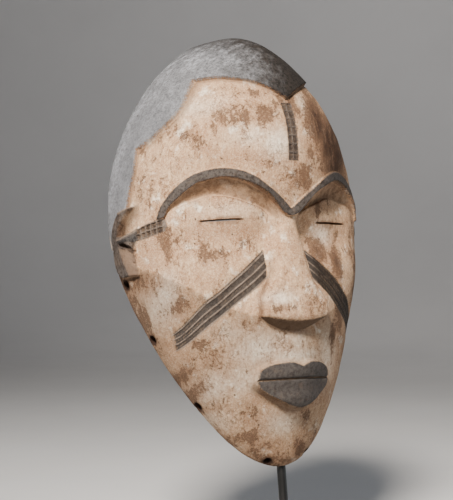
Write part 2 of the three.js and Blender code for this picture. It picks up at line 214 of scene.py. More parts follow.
def head(direction, shrink, forward):
    """Points of the egg, or of one a wall smaller, with the features pushed forward by forward(x, z)."""
    rise = direction[:, 2]
    level = np.hypot(direction[:, 0], direction[:, 1])
    safe = np.maximum(level, 1e-9)
    sine = np.abs(direction[:, 0]) / safe
    cosine = np.abs(direction[:, 1]) / safe
    power = series(SQUARENESS, rise)
    norm = np.maximum((sine**power + cosine**power) ** (1 / power), 1e-9)
    x = (series(HALF_WIDTH, rise) - shrink) * direction[:, 0] / norm
    z = (HALF_HEIGHT - shrink) * rise
    rim = series(RIM_SWEEP, np.maximum(0, RIM_START - z / HALF_HEIGHT))
    forms = sum(h * bump(np.abs(x) - x0, z - z0, w, t) for x0, z0, w, t, h in SWELLINGS.values())
    f = rim + (series(DEPTH, rise) - shrink) * np.abs(direction[:, 1]) / norm
    return np.stack([x, f + (forms + forward(x, z)) * np.minimum(1, 3 * cosine), z], axis=1)


def plain_head(direction):
    return head(direction, 0, lambda x, z: 0)


def outward(direction):
    """The egg's outward normals, from small steps along it."""
    step = 0.004
    rise = np.clip(direction[:, 2], -1 + 3 * step, 1 - 3 * step)
    turn = np.arctan2(direction[:, 0], np.maximum(direction[:, 1], 0))
    turn = np.clip(turn, 2 * step - math.pi / 2, math.pi / 2 - 2 * step)

    def at(rise, turn):
        level = np.sqrt(1 - rise**2)
        return plain_head(np.stack([level * np.sin(turn), level * np.cos(turn), rise], axis=1))

    up = at(rise + step, turn) - at(rise - step, turn)
    across = at(rise, turn + step) - at(rise, turn - step)
    normal = np.cross(up, across)
    normal /= np.linalg.norm(normal, axis=1, keepdims=True)
    # At chin and crown every turn meets in one point, which faces straight down or up
    level = np.hypot(direction[:, 0], direction[:, 1])[:, None]
    pole = np.stack([0 * rise, 0 * rise, np.sign(rise)], axis=1)
    share = smoothstep(0, 0.3, level)
    normal = share * normal + (1 - share) * pole
    return normal / np.linalg.norm(normal, axis=1, keepdims=True)


print("egg: front at mid height", plain_head(np.array([[0.0, 1.0, 0.0]])).round(1))

# %% [markdown]
# ## Outlines
# A carver draws the features on the block before cutting them. Each outline here is a few
# points joined by smooth strokes, seen from the front as (x, z), or from the side as (f, z) for
# the ear and what lies beside it. Both halves of the face are alike, so x is taken without its
# sign. How far a point lies inside an outline, in millimetres, then drives both the cut and,
# later, the paint, so the two always meet at the same edge.

# %% Drawing tools
STROKE_STEPS = 5


def stroke(*points):
    """A smooth line through the points, as a list of (a, b)."""
    points = [np.array(point, float) for point in points]
    ends = [2 * points[0] - points[1], *points, 2 * points[-1] - points[-2]]
    line = []
    for before, start, end, after in zip(ends, ends[1:], ends[2:], ends[3:]):
        for t in np.arange(STROKE_STEPS) / STROKE_STEPS:
            bend_in = 2 * before - 5 * start + 4 * end - after
            bend_out = 3 * start - before - 3 * end + after
            line.append(start + 0.5 * t * (end - before + t * (bend_in + t * bend_out)))
    return [tuple(point) for point in [*line, points[-1]]]


def to_line(a, b, line, reach=8.0):
    """Distance of the points (a, b) from an open line, no more than reach."""
    line = np.asarray(line, float)
    result = np.full(a.shape, float(reach))
    low, high = line.min(0) - reach, line.max(0) + reach
    near = (a > low[0]) & (a < high[0]) & (b > low[1]) & (b < high[1])
    pa, pb = a[near], b[near]
    nearest = np.full(pa.shape, reach)
    for (a0, b0), (a1, b1) in zip(line[:-1], line[1:]):
        da, db = a1 - a0, b1 - b0
        along = np.clip(((pa - a0) * da + (pb - b0) * db) / (da * da + db * db + 1e-12), 0, 1)
        nearest = np.minimum(nearest, np.hypot(pa - a0 - along * da, pb - b0 - along * db))
    result[near] = nearest
    return result


def inside(a, b, outline, reach=8.0):
    """How far the points (a, b) lie inside a closed outline: negative outside it."""
    ring = np.vstack([outline, outline[:1]])
    distance = to_line(a, b, ring, reach)
    crossed = np.zeros(a.shape, bool)
    for (a0, b0), (a1, b1) in zip(ring[:-1], ring[1:]):
        if b0 != b1:
            crossed ^= ((b0 > b) != (b1 > b)) & (a < a0 + (b - b0) * (a1 - a0) / (b1 - b0))
    return np.where(crossed, distance, -distance)


def height_of(line, x):
    line = np.asarray(line, float)
    return np.interp(x, line[:, 0], line[:, 1])


print("stroke:", len(stroke((0, 0), (1, 1), (2, 0))), "points")

# %% The face's outlines
HAIR_MIDDLE = stroke((0, 90.6), (9, 96.5), (20, 102.6), (30, 106.2), (37, 108.6), (45.4, 109.6))
HAIR_TEMPLE = stroke((45.4, 109.6), (51.2, 101.2), (59.8, 88.3), (67.8, 79.3), (77.6, 68.5), (80.2, 65.9))
HAIRLINE = HAIR_MIDDLE + HAIR_TEMPLE[1:]
SIDEBURN_EDGE = stroke((22.9, 25.4), (24.2, 31.3), (25.2, 38), (27, 52), (25.4, 66))
BROW_TOP = stroke(
    (-3.4, 21), (0, 18.4), (3.4, 21), (10, 26.3), (18.6, 32.4), (28, 39), (39, 43.6), (49.5, 44.9),
    (60, 42.4), (66.5, 38.4), (71, 34.3), (75.2, 29.1), (79, 22.3), (80.7, 15.2),
)
BROW_FOOT = stroke(
    (-6.4, 15.8), (0, 13.5), (6.4, 15.8), (10.7, 20.4), (18.2, 27.8), (28, 33.6), (39, 38), (47, 38.9),
    (57.5, 36.6), (63.3, 33.2), (68.5, 28.7), (74.4, 22.3), (77.4, 15.2),
)
LID_FOLD = stroke(
    (7, 9), (10.6, 13.6), (17, 18.8), (27.5, 22.8), (36.4, 26.2), (44.3, 28), (51.5, 27.8),
    (60.8, 25.2), (68.6, 22.4), (76.6, 17.6),
)
LIP_TOP = stroke(
    (-4, -83.8), (0, -85.2), (4, -83.8), (8, -82.6), (16, -83), (22, -84.4), (26.2, -86.6), (27.4, -89.6)
)
LIP_FOOT = stroke((27.2, -96.2), (25.6, -99), (19.6, -103.4), (10, -109), (5, -111), (0, -112), (-5, -111))
MOUTH_CORNER = (27.8, -93.2)
BAND_TOP = stroke((16.3, -7.6), (27, -15.8), (39, -25.1), (50, -34.4), (59.4, -42.3), (71, -58.8))
BAND_FOOT = stroke((17.8, -27), (28, -35), (38.9, -43), (48, -50.6), (56.4, -57.9), (67.8, -70.5))
LADDER_HALF_WIDTH, LADDER_TOP, LADDER_FOOT = 4, 88, 48
LADDER = [(-LADDER_HALF_WIDTH, LADDER_TOP), (LADDER_HALF_WIDTH, LADDER_TOP)]
LADDER += [(x, LADDER_FOOT) for x, _ in LADDER[::-1]]
print("outlines of the face: hairline", len(HAIRLINE), "points, lips", len(LIP_TOP + LIP_FOOT))

# %% The side's outlines
HELIX_OUTER = stroke(
    (14.5, 23.8), (9.5, 18.5), (5.1, 11.6), (3.5, 6), (3.6, -1), (4.9, -8.4), (8.1, -14.6), (12.8, -18.9)
)
HELIX_INNER = stroke((25, 24.2), (22, 21.7), (19.8, 18.9), (15.9, 15.1), (13.9, 12.3), (12.9, 8.6))
LOBE_CREASE = stroke((14.8, 0.6), (16, -3.9), (17.3, -7.6), (20, -12), (21, -16.3), (21, -18.4))
EAR = HELIX_OUTER + [(20.3, -18.3)] + stroke((28.5, -18.9), (28.8, -9), (28.4, -4.6), (31, 2.8), (33.5, 10))
EAR += stroke((33, 20), (30, 26.2), (22.8, 25.3), (14.5, 23.8))
EAR_SCOOP = HELIX_INNER + stroke((19.6, 7.7), (26.2, 9.1), (33, 11.8))
EAR_SCOOP += stroke((36, 18), (34, 26), (30, 25.4))
EAR_NOTCH = stroke((14.9, 3.1), (20, 3.3), (26, 0.6), (29.8, -3.2))
EAR_NOTCH += stroke((28, -4.3), (21.9, -0.9), (15.2, 1.9))
EAR_FACET = LOBE_CREASE + [(28.6, -18.9), (28.8, -9), (28.2, -4.5), (21.9, -1)]
EAR_RIDGE = stroke((12.7, 6.1), (19.6, 6.3), (26.2, 7.7), (32, 9.8), (37.5, 11.9), (43.1, 13.7), (49.6, 15.3))
EAR_LINE = stroke((14.5, 23.8), (22.8, 25.2), (30, 26.3), (38.4, 27.8), (44, 31))
TEMPLE_BAND = EAR_RIDGE + stroke((51.8, 14), (52.5, 10.6), (51.3, 6.9)) + stroke(
    (45, 5), (38.5, 3.7), (31, 2.9), (21.3, 3.9), (14, 4.4)
)
DOT = (26.7, -11)
print("outlines of the side: ear", len(EAR), "points, temple band", len(TEMPLE_BAND))

# %% [markdown]
# ## The features that stand forward
# The hollows of the eyes, the closed lids, the nose and the lips are measured along the line of
# sight, because a carver lowers the ground round them from the front. The nose is a front plane
# that widens downwards, with sides that fall away to the cheek and a slanting underside.

# %% Eyes
SOCKET_DEPTH = 9.2
LID_RAISED = 2.3
EYEBALL = {"x": 44, "z": 13, "across": 24, "up": 12, "height": 1.8}
CRISP = 0.45


def step_at(distance, width=CRISP):
    """0 outside an edge and 1 inside it, with a wall as wide as a knife leaves it."""
    return smoothstep(-width, width, distance)


def eyes(x, z):
    side = np.abs(x)
    across = smoothstep(3, 16, side) * (1 - smoothstep(44, 88, side))
    fold, brow = height_of(LID_FOLD, side), height_of(BROW_FOOT, side)
    under_brow = 1 - 0.62 * smoothstep(0, 1, (z - fold) / np.maximum(brow - fold, 1)) ** 1.3
    hollow = -SOCKET_DEPTH * across * under_brow * smoothstep(-26, 5, z) * step_at(brow - z)
    open_part = smoothstep(8, 20, side) * (1 - smoothstep(62, 77, side))
    lid = LID_RAISED * open_part * smoothstep(-6, 20, z) * step_at(fold - z)
    ball = EYEBALL["height"] * bump(side - EYEBALL["x"], z - EYEBALL["z"], EYEBALL["across"], EYEBALL["up"])
    return hollow + lid + ball * step_at(fold - z)


print("eyes: hollow", eyes(np.array([44.0]), np.array([33.0])).round(1), "mm deep under the brow")

# %% Nose
# Height, half width of the front plane, how far forward it lies in its middle and at its edges,
# and half width where the sides meet the face
NOSE = np.array([
    (19, 2, 82.6, 82, 4.5), (8, 4, 83, 82, 9.4), (-8, 8, 84.2, 82.8, 12.4), (-20, 9.6, 85.6, 84, 15.4),
    (-29, 12.4, 87, 85, 18.6), (-36, 18, 88, 85.6, 22), (-43, 22.6, 89, 85.8, 24.4),
    (-50, 23.6, 88.8, 85, 25.2), (-52, 23.6, 88, 84.2, 25.2), (-53, 22.6, 86.4, 83, 24.6),
    (-55.5, 16.6, 81.6, 80, 20), (-58.6, 8, 76.8, 75.6, 11), (-63, 1, 70, 69, 5),
])
# The tip hangs lower than the wings
TIP_DROP = 3.2
TIP_HALF_WIDTH = 24
NOSE_SIDE_FALL = 7
NOSE_SIDE_STEEPNESS = 5
NOSE_BLEND = 0.6
# Above and below these heights it sinks into the face
NOSE_ENDS = (-61, 16)
NOSE_END_FALL = 6


def nose_front(x, z):
    side = np.abs(x)
    heights = NOSE[::-1, 0]
    z = z + TIP_DROP * np.maximum(0, 1 - (side / TIP_HALF_WIDTH) ** 2) * smoothstep(-30, -50, z)
    flat, middle, edge, foot = [np.interp(z, heights, NOSE[::-1, column]) for column in (1, 2, 3, 4)]
    front = middle + (edge - middle) * np.minimum(side / flat, 1) ** 2
    flank = NOSE_SIDE_FALL * np.clip((side - flat) / np.maximum(foot - flat, 1), 0, 1) ** 1.2
    away = NOSE_SIDE_STEEPNESS * np.maximum(side - foot, 0)
    low, high = NOSE_ENDS
    ends = NOSE_END_FALL * (np.maximum(z - high, 0) + np.maximum(low - z, 0))
    return front - flank - away - ends


def soft_max(a, b, radius):
    return (a + b + np.sqrt((a - b) ** 2 + radius**2)) / 2


print("nose: stands", nose_front(np.array([0.0]), np.array([-45.0])).round(1), "mm forward at its tip")

# %% Lips
LIP_RAISED = 6.2
LOWER_LIP_SWELL = 2.6
MOUTH_LINE = [(-MOUTH_CORNER[0], MOUTH_CORNER[1]), MOUTH_CORNER]


def lips_inside(x, z):
    return inside(np.abs(x), z, LIP_TOP + [MOUTH_CORNER] + LIP_FOOT)


def lips(x, z):
    side = np.abs(x)
    edge = lips_inside(x, z)
    middle = np.maximum(0, 1 - (side / 25) ** 2)
    under = 1.2 + 3.4 * np.maximum(0, 1 - side / 13)
    wall = np.where(z > MOUTH_CORNER[1], 1.3 + 1.4 * middle, under)
    outline = smoothstep(-1, 0.25, edge / wall)
    lower = smoothstep(-99, -107, z) * (1 - smoothstep(8, 24, side))
    parting = np.exp(-((to_line(x, z, MOUTH_LINE) / 0.75) ** 2))
    return outline * (LIP_RAISED + LOWER_LIP_SWELL * lower) - 2.4 * parting * step_at(edge, 1)


# The cheeks rise to meet the wings of the nose: middle across and up, spread across and up, height
WING_FOOT = (25, -46, 12, 17, 3.8)


def forward(x, z):
    across, up, wide, tall, height = WING_FOOT
    return eyes(x, z) + lips(x, z) + height * bump(np.abs(x) - across, z - up, wide, tall)


print("lips: raised", lips(np.array([0.0]), np.array([-105.0])).round(1), "mm in the lower one's middle")

# %% [markdown]
# ## The layers on the wood
# Hair, brows, ears and the marks of rank are thin layers, raised or cut square to the surface.
# Each returns a height, and tells how far the nearest crisp edge is, so that the mesh can be
# made finest there and the paint can follow.

# %% Hair and brows
FACE_DIP = 1.7
DIP_WIDTH = 20
HAIR_RAISED = 0.9
# The hair's raised edge fades away between these distances from the middle, and these heights
HAIR_FADE_ACROSS = (45, 72)
HAIR_FADE_UP = (100, 140)
# Depth and width of the knife's groove along the hairline
HAIR_GROOVE = (0.45, 0.6)
BROW_RAISED = 2.6
SIDE_FROM = 55


def hair_inside(x, f, z):
    side = np.abs(x)
    front = inside(side, z, HAIRLINE + [(140, 65.9), (140, 200), (-60, 200), (-60, 90.6)], 40.0)
    back = [(23, 90), (20, 130), (-30, 130), (-30, 1)]
    beside = inside(f, z, SIDEBURN_EDGE + back + HELIX_OUTER[:20][::-1], 40.0)
    return np.maximum(front, np.where(side > SIDE_FROM, beside, -40))


def hair(x, f, z, marks):
    edge = hair_inside(x, f, z)
    marks["hair"] = edge
    in_front = 1 - smoothstep(*HAIR_FADE_ACROSS, np.abs(x))
    above = HAIR_RAISED * in_front * (1 - smoothstep(*HAIR_FADE_UP, z))
    dip = (FACE_DIP + 0.5 * (1 - in_front)) * (1 - smoothstep(0, DIP_WIDTH, -edge))
    depth, width = HAIR_GROOVE
    groove = depth * np.exp(-(((edge + width) / width) ** 2))
    return above * step_at(edge) - dip * (1 - step_at(edge)) - groove


def brows(x, f, z, marks):
    side = np.abs(x)
    edge = inside(side, z, BROW_TOP + BROW_FOOT[::-1])
    marks["brow"] = edge
    top, foot = height_of(BROW_TOP, side), height_of(BROW_FOOT, side)
    share = np.clip((top - z) / np.maximum(top - foot, 1), 0, 1)
    thinner = 1 - 0.5 * smoothstep(70, 81, side)
    return step_at(edge) * thinner * BROW_RAISED * (0.55 + 0.45 * share)


print("layers: hair", HAIR_RAISED, "and brows", BROW_RAISED, "mm high")

# %% Ears
EAR_RAISED = 2.8
SCOOP_DEPTH = 1.5
NOTCH_IN_EAR = 3.2


def ears(x, f, z, marks):
    beside = np.abs(x) > SIDE_FROM
    outlines = {"ear": EAR, "scoop": EAR_SCOOP, "notch": EAR_NOTCH, "facet": EAR_FACET}
    for name, outline in outlines.items():
        marks[name] = np.where(beside, inside(f, z, outline), -8)
    # The ear flattens towards the face, and its lobe falls away from the crease
    helix = EAR_RAISED * (1 - smoothstep(24, 32, f) * smoothstep(-4, 2, z))
    fall = smoothstep(0, 9.5, to_line(f, z, LOBE_CREASE, 12))
    lobe = EAR_RAISED - 2.0 * fall
    facet = step_at(marks["facet"], 0.3)
    height = step_at(marks["ear"]) * (helix * (1 - facet) + lobe * facet)
    scoop = step_at(marks["scoop"], 0.7)
    height = height * (1 - scoop) - SCOOP_DEPTH * scoop * (1 - smoothstep(13, 31, f))
    height = height - step_at(marks["notch"], 0.5) * NOTCH_IN_EAR * (1 - 0.6 * smoothstep(18, 31, f))
    # A drilled dot, and the ground cut back under the lobe
    height = height - 1.6 * bump(f - DOT[0], z - DOT[1], 0.8, 0.8) * beside
    under = bump(f - 23, z + 20.6, 7, 1.6) * beside
    line = np.exp(-((to_line(f, z, EAR_LINE) / 0.8) ** 2)) * (1 - smoothstep(28, 44, f))
    crease = np.exp(-((to_line(f, z, LOBE_CREASE) / 0.6) ** 2)) * smoothstep(-17, -12, z)
    marks["ear_line"] = np.maximum(line, 0.6 * crease) * beside
    # Painted shade beside the helix, in the notch and under the lobe
    beside_helix = scoop * (1 - smoothstep(2, 15, to_line(f, z, HELIX_INNER, 18)))
    marks["recess"] = np.max([beside_helix, 0.9 * step_at(marks["notch"], 0.6), 1.2 * under], axis=0)
    return height + 0.6 * line * beside - under


print("ears:", EAR_RAISED, "mm high")

# %% Bands on the cheeks
BAND_DEPTH = 0.9
# Where the ribs lie, as shares of the way down the band, and how thick they are
BAND_RIBS = (0.1, 0.42, 0.69, 0.97)
RIB_WIDTH = 0.55
# The band runs down at a slant, so it is narrower across than its height shows
BAND_SLANT = 0.72


def cheek_band(x, f, z, marks):
    side = np.abs(x)
    edge = inside(side, z, BAND_TOP + BAND_FOOT[::-1])
    top, foot = height_of(BAND_TOP, side), height_of(BAND_FOOT, side)
    gap = np.maximum(top - foot, 1)
    share = (top - z) / gap
    ribs = sum(np.exp(-(((share - rib) * gap * BAND_SLANT / RIB_WIDTH) ** 2)) for rib in BAND_RIBS)
    ribs = np.minimum(ribs, 1) * (edge > -1)
    begun = smoothstep(20, 32, side)
    marks["band"] = edge
    marks["band_share"] = share
    marks["rib_distance"] = np.min([np.abs(share - rib) * gap * BAND_SLANT for rib in BAND_RIBS], axis=0)
    outline = 0.5 * np.exp(-((edge + 0.7) / 0.7) ** 2)
    return -step_at(edge, 0.35) * BAND_DEPTH * (0.3 + 0.7 * begun) * (1 - 0.7 * ribs) - outline


print("band: ribs at", BAND_RIBS)

# %% Notches at the temples and on the forehead
NOTCH_DEPTH = 1.0
# Columns and rows of notches, and the share of each that its ribs take
TEMPLE_CELLS = (5, 2, 0.26)
LADDER_CELLS = (2, 7, 0.2)
TEMPLE_CORNERS = np.array([[(50.5, 14.9), (32, 10.4)], [(50.5, 5.8), (32, 3.6)]], float)
LADDER_GROUND = 0.35
LADDER_NOTCH = 0.6


def notch_rows(u, v, columns, rows, rib):
    """Small square notches over the unit square: 1 in a notch and 0 on the ribs between."""
    across = np.abs((u * columns) % 1 - 0.5) * 2
    up = np.abs((v * rows) % 1 - 0.5) * 2
    cell = smoothstep(rib - 0.14, rib + 0.1, 1 - across) * smoothstep(rib - 0.14, rib + 0.1, 1 - up)
    return cell * ((u > 0) & (u < 1) & (v > 0) & (v < 1))


def temple_notches(x, f, z, marks):
    beside = np.abs(x) > SIDE_FROM
    marks["temple"] = np.where(beside, inside(f, z, TEMPLE_BAND), -8)
    (front_top, back_top), (front_foot, back_foot) = TEMPLE_CORNERS
    u = (front_top[0] - f) / (front_top[0] - back_top[0])
    top = front_top[1] + (back_top[1] - front_top[1]) * u
    foot = front_foot[1] + (back_foot[1] - front_foot[1]) * u
    v = (top - z) / (top - foot)
    cells = notch_rows(u, v, *TEMPLE_CELLS) * beside
    marks["temple_cells"] = cells
    ridge = np.exp(-((to_line(f, z, EAR_RIDGE) / 0.7) ** 2)) * beside * (1 - smoothstep(38, 48, f))
    marks["ear_line"] = np.maximum(marks["ear_line"], ridge)
    return 0.5 * step_at(marks["temple"], 0.6) - NOTCH_DEPTH * cells + 0.5 * ridge


def ladder(x, f, z, marks):
    edge = inside(np.abs(x), z, LADDER)
    u = (x + LADDER_HALF_WIDTH) / (2 * LADDER_HALF_WIDTH)
    v = (LADDER_TOP - z) / (LADDER_TOP - LADDER_FOOT)
    cells = notch_rows(u, v, *LADDER_CELLS)
    marks["ladder"] = edge
    marks["ladder_cells"] = cells
    return -LADDER_GROUND * step_at(edge, 0.5) - LADDER_NOTCH * cells


print("notches: columns and rows", TEMPLE_CELLS[:2], "and", LADDER_CELLS[:2])

# %% [markdown]
# ## Knife marks
# Carved wood is never smooth: shallow facets of the knife wander over it, and the inside keeps
# the scoops of the adze. Both are smooth random lumps, from a lattice of fixed random numbers.

# %% Lumps and scoops
LATTICE_SIZE = 24
LATTICE = np.random.default_rng(7).random((LATTICE_SIZE,) * 3)
TURNED_LATTICES = [np.roll(LATTICE, 5 * axis + 1, axis) for axis in range(3)]


def read(lattice, corner):
    return lattice[tuple(corner.T % LATTICE_SIZE)]


def lumps(points, size):
    """Smooth random heights from -1 to 1, with lumps about size wide."""
    place = points / size + 100
    corner = np.floor(place).astype(int)
    share = place - corner
    share = share * share * (3 - 2 * share)
    total = np.zeros(len(points))
    for offset in np.ndindex(2, 2, 2):
        weight = np.prod(np.where(offset, share, 1 - share), axis=1)
        total += weight * read(LATTICE, corner + offset)
    return 2 * total - 1


def scoops(points, size):
    """Hollow scoops side by side, as an adze leaves them: 0 on the ridges and -1 in the hollows."""
    scaled = points / np.array(size)
    corner = np.floor(scaled).astype(int)
    nearest = np.full(len(points), 9.0)
    for offset in np.ndindex(3, 3, 3):
        cell = corner + offset - 1
        centre = cell + np.stack([read(lattice, cell) for lattice in TURNED_LATTICES], axis=1)
        nearest = np.minimum(nearest, ((scaled - centre) ** 2).sum(1))
    return nearest - 1


print("lumps: a lattice of", LATTICE.size, "numbers")

# %% The carved point
RIM_ROUND = 1.1
RIM_SHARE = 0.08
# Height and size of the knife's lumps, and depth and size of the adze's scoops
KNIFE = ((0.28, 13), (0.1, 5))
ADZE_DEPTH = 1.1
ADZE_SIZE = (17, 17, 24)
ADZE_LIFT = 0.5
# Inside, the wearer's side, the eye hollows are the only feature, and shallower than in front
INSIDE_HOLLOW = 0.6
FAR_FROM_EDGES = 9
# Where the crisp edges of the lid, its fold and the temple's notches end
LID_END = 77
FOLD_ENDS = (10, 76)
TEMPLE_FROM = 34


def hollows_only(x, z):
    return INSIDE_HOLLOW * eyes(x, z)


def carve(direction, wall):
    """Where each point of the shell lies, how far from a crisp edge, and the marks for the paint.
    wall is 0 on the outside, 1 on the inside and between them across the rim."""
    outer = head(direction, 0, forward)
    x, z = outer[:, 0], outer[:, 2]
    face = outer[:, 1].copy()
    outer[:, 1] = soft_max(face, nose_front(x, z), NOSE_BLEND)
    marks = {"nose": outer[:, 1] - face}
    layers = (hair, brows, ears, cheek_band, temple_notches, ladder)
    lift = sum(layer(x, face, z, marks) for layer in layers)
    lift += sum(height * lumps(outer, size) for height, size in KNIFE)
    outer += outward(direction) * lift[:, None]

    inner = head(direction, WALL, hollows_only)
    inner += direction * (ADZE_DEPTH * scoops(inner, ADZE_SIZE) + ADZE_LIFT)[:, None]

    marks["lips"] = lips_inside(x, z)
    side = np.abs(x)
    marks["fold"] = (height_of(LID_FOLD, side) - z) * (side < LID_END)
    edges = [marks[name] for name in ("hair", "brow", "ear", "scoop", "notch", "lips", "ladder")]
    near = np.min([np.abs(edge) for edge in edges], axis=0)
    on_fold = (side > FOLD_ENDS[0]) & (side < FOLD_ENDS[1])
    near = np.minimum(near, np.where(on_fold, np.abs(marks["fold"]), FAR_FROM_EDGES))
    band = np.abs(marks["band"])
    near_rib = np.where(marks["band"] > -1, marks["rib_distance"], band)
    near = np.minimum(near, np.maximum(0, np.minimum(near_rib, band) - 0.3))
    near = np.where((marks["temple"] > -0.5) & (face > TEMPLE_FROM), 0, near)
    near = np.minimum(near, to_line(x, z, MOUTH_LINE))
    near = np.where(wall > 0, FAR_FROM_EDGES, near)

    points = outer + (inner - outer) * wall[:, None]
    # The rim's two edges are worn round
    back = np.abs(direction[:, 1])
    turned_in = np.abs(2 * wall - 1) ** 5
    points[:, 1] += RIM_ROUND * np.where(back < 1e-6, turned_in, np.maximum(0, 1 - back / RIM_SHARE))
    marks["wall"] = wall
    marks["place"] = np.stack([x, face, z], axis=1)
    return points, near, marks


print("carved: tip of the chin", carve(np.array([[0.0, 0.0, -1.0]]), np.zeros(1))[0].round(1))

# %% [markdown]
# ## A mesh that is fine only where it has to be
# An even mesh fine enough for the crisp edges would need millions of triangles. This one starts
# as the front half of an eight-sided ball, inside and outside, joined along the rim: sixteen
# triangles. For every edge, the point that the rule carves at its middle is compared with the
# straight line. An edge that is too long, or that misses the carving by more than a hair, is
# split there, and so on. Splitting an edge always splits both its triangles, so the shell
# stays closed.

# %% How fine the mesh is
MISS = 0.1
FINEST = 0.55
ALONG_EDGES = 1.7
GROWTH = 0.5
COARSEST = 3.2
COARSEST_INSIDE = 5.6
# On the inside a coarser miss will do
MISS_INSIDE = 4


def longest(near, wall):
    """The longest edge that is allowed at a place, however flat it is there."""
    outside = np.clip(ALONG_EDGES + GROWTH * (near - 1), ALONG_EDGES, COARSEST)
    return np.where(wall > 0.1, COARSEST_INSIDE, outside)


def split(triangles, middle):
    """New triangles, where middle gives the new point on each triangle's three edges, or -1."""
    a, b, c = triangles.T
    ab, bc, ca = middle.T
    marked = (middle >= 0).sum(1)
    made = [triangles[marked == 0]]
    three = marked == 3
    for corners in ((a, ab, ca), (ab, b, bc), (ca, bc, c), (ab, bc, ca)):
        made.append(np.stack(corners, 1)[three])
    for turn in range(3):
        one = (marked == 1) & (ab >= 0)
        made += [np.stack(corners, 1)[one] for corners in ((a, ab, c), (ab, b, c))]
        two = (marked == 2) & (ca < 0)
        made += [np.stack(corners, 1)[two] for corners in ((ab, b, bc), (a, ab, bc), (a, bc, c))]
        a, b, c, ab, bc, ca = b, c, a, bc, ca, ab
    return np.concatenate(made)


print("edges: from", FINEST, "to", COARSEST, "mm long outside, and", COARSEST_INSIDE, "inside")

# %% Splitting
EVEN_PASSES = 5
PASSES = 12
AXES = np.array([(1, 0, 0), (0, 0, 1), (-1, 0, 0), (0, 0, -1), (0, 1, 0)], float)
direction = np.vstack([AXES, AXES])
wall = np.repeat([0.0, 1.0], 5)
quarter = [(side, (side + 1) % 4) for side in range(4)]
triangles = [(start, 4, end) for start, end in quarter]
triangles += [(start + 5, end + 5, 9) for start, end in quarter]
triangles += [(start, end, start + 5) for start, end in quarter]
triangles += [(end, end + 5, start + 5) for start, end in quarter]
triangles = np.array(triangles)
points, near, marks = carve(direction, wall)
settled = 0

for step in range(PASSES):
    pairs = np.concatenate([triangles[:, corners] for corners in ([0, 1], [1, 2], [2, 0])])
    edges, place = np.unique(np.sort(pairs, axis=1), axis=0, return_inverse=True)
    # An edge between two old points was looked at before and found good
    open_edges = np.flatnonzero(edges.max(1) >= settled)
    start, end = edges[open_edges].T
    between = direction[start] + direction[end]
    between /= np.linalg.norm(between, axis=1, keepdims=True)
    across = (wall[start] + wall[end]) / 2
    length = np.linalg.norm(points[start] - points[end], axis=1)
    new_points, new_near, new_marks = carve(between, across)
    miss = np.linalg.norm(new_points - (points[start] + points[end]) / 2, axis=1)
    allowed = longest(np.minimum(near[start], near[end]), across)
    missed = miss > MISS * np.where(across > 0, MISS_INSIDE, 1)
    split_here = (length > allowed) | (missed & (length > FINEST))
    if step < EVEN_PASSES:
        split_here[:] = True
    if not split_here.any():
        break
    new_index = np.full(len(edges), -1)
    new_index[open_edges[split_here]] = len(points) + np.arange(split_here.sum())
    settled = len(points)
    triangles = split(triangles, new_index[place.reshape(-1)].reshape(3, -1).T)
    direction = np.vstack([direction, between[split_here]])
    wall = np.concatenate([wall, across[split_here]])
    points = np.vstack([points, new_points[split_here]])
    near = np.concatenate([near, new_near[split_here]])
    marks = {name: np.concatenate([marks[name], new_marks[name][split_here]]) for name in marks}
    print("pass", step, "points", len(points), "triangles", len(triangles))

# %% [markdown]
# ## Holes
# The eye slits and the rim's holes go right through the wood, so they are cut from the finished
# shell by a boolean, which keeps it closed. The rod's seat behind the chin is cut the same way.

# %% From the mask's frame to the row's
LEAN = math.radians(7.6)
MASK_BEHIND_FOOT = 50
CHIN_ABOVE_FOOT = 60
FOOT_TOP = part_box("stand_foot")[1].z / MM
CHIN_FORWARD = series(RIM_SWEEP, RIM_START + 1)
CHIN_DROP = HALF_HEIGHT * math.cos(LEAN) - CHIN_FORWARD * math.sin(LEAN)
MASK_MIDDLE = FOOT_TOP + CHIN_ABOVE_FOOT + CHIN_DROP


def to_row(points):
    """From x, f, z in millimetres to the frame's axes in metres."""
    x, f, z = np.asarray(points, float).T
    y = MASK_BEHIND_FOOT - f * math.cos(LEAN) + z * math.sin(LEAN)
    return np.stack([x, y, MASK_MIDDLE + z * math.cos(LEAN) + f * math.sin(LEAN)], axis=1) * MM


def mesh_from(name, points, faces):
    mesh = bpy.data.meshes.new(name)
    mesh.from_pydata(points.tolist(), [], [list(map(int, face)) for face in faces])
    mesh.update()
    return mesh


shell = link("carved_mask", mesh_from("carved_mask", to_row(points), triangles))
print("shell:", len(triangles), "triangles, middle at", round(MASK_MIDDLE, 1))

# %% Slits and rim holes
# The two ends of each slit, x and z: the eye on the viewer's right is cut a little lower
SLITS = {-1: ((30.5, 12.2), (58.5, 11.6)), 1: ((27.5, 10.2), (58.5, 10.9))}
SLIT_HEIGHT = 1.5
SLIT_SIDES = 24
SLIT_REACH = (20.0, 120.0)
# Height on the egg, degrees from the rim and radius, the same on both sides
RIM_HOLES = ((-0.16, 4.4, 3.3), (-0.41, 5.2, 3.2), (-0.715, 6.8, 3.2))
# The side comes first for the two at the chin, which aren't alike
HOLES = [(side, *place) for side in (-1, 1) for place in RIM_HOLES]
HOLES += [(-1, -0.974, 44, 2.8), (1, -0.95, 24, 3.2)]
HOLE_SIDES = 28
HOLE_REACH = 20


def prism(ring_near, ring_far):
    """A closed solid between two rings of points, as points and faces."""
    count = len(ring_near)
    ring_near, ring_far = np.asarray(ring_near, float), np.asarray(ring_far, float)
    faces = [list(range(count))[::-1], list(range(count, 2 * count))]
    for place in range(count):
        after = (place + 1) % count
        faces.append([place, after, count + after, count + place])
    return np.vstack([ring_near, ring_far]), faces


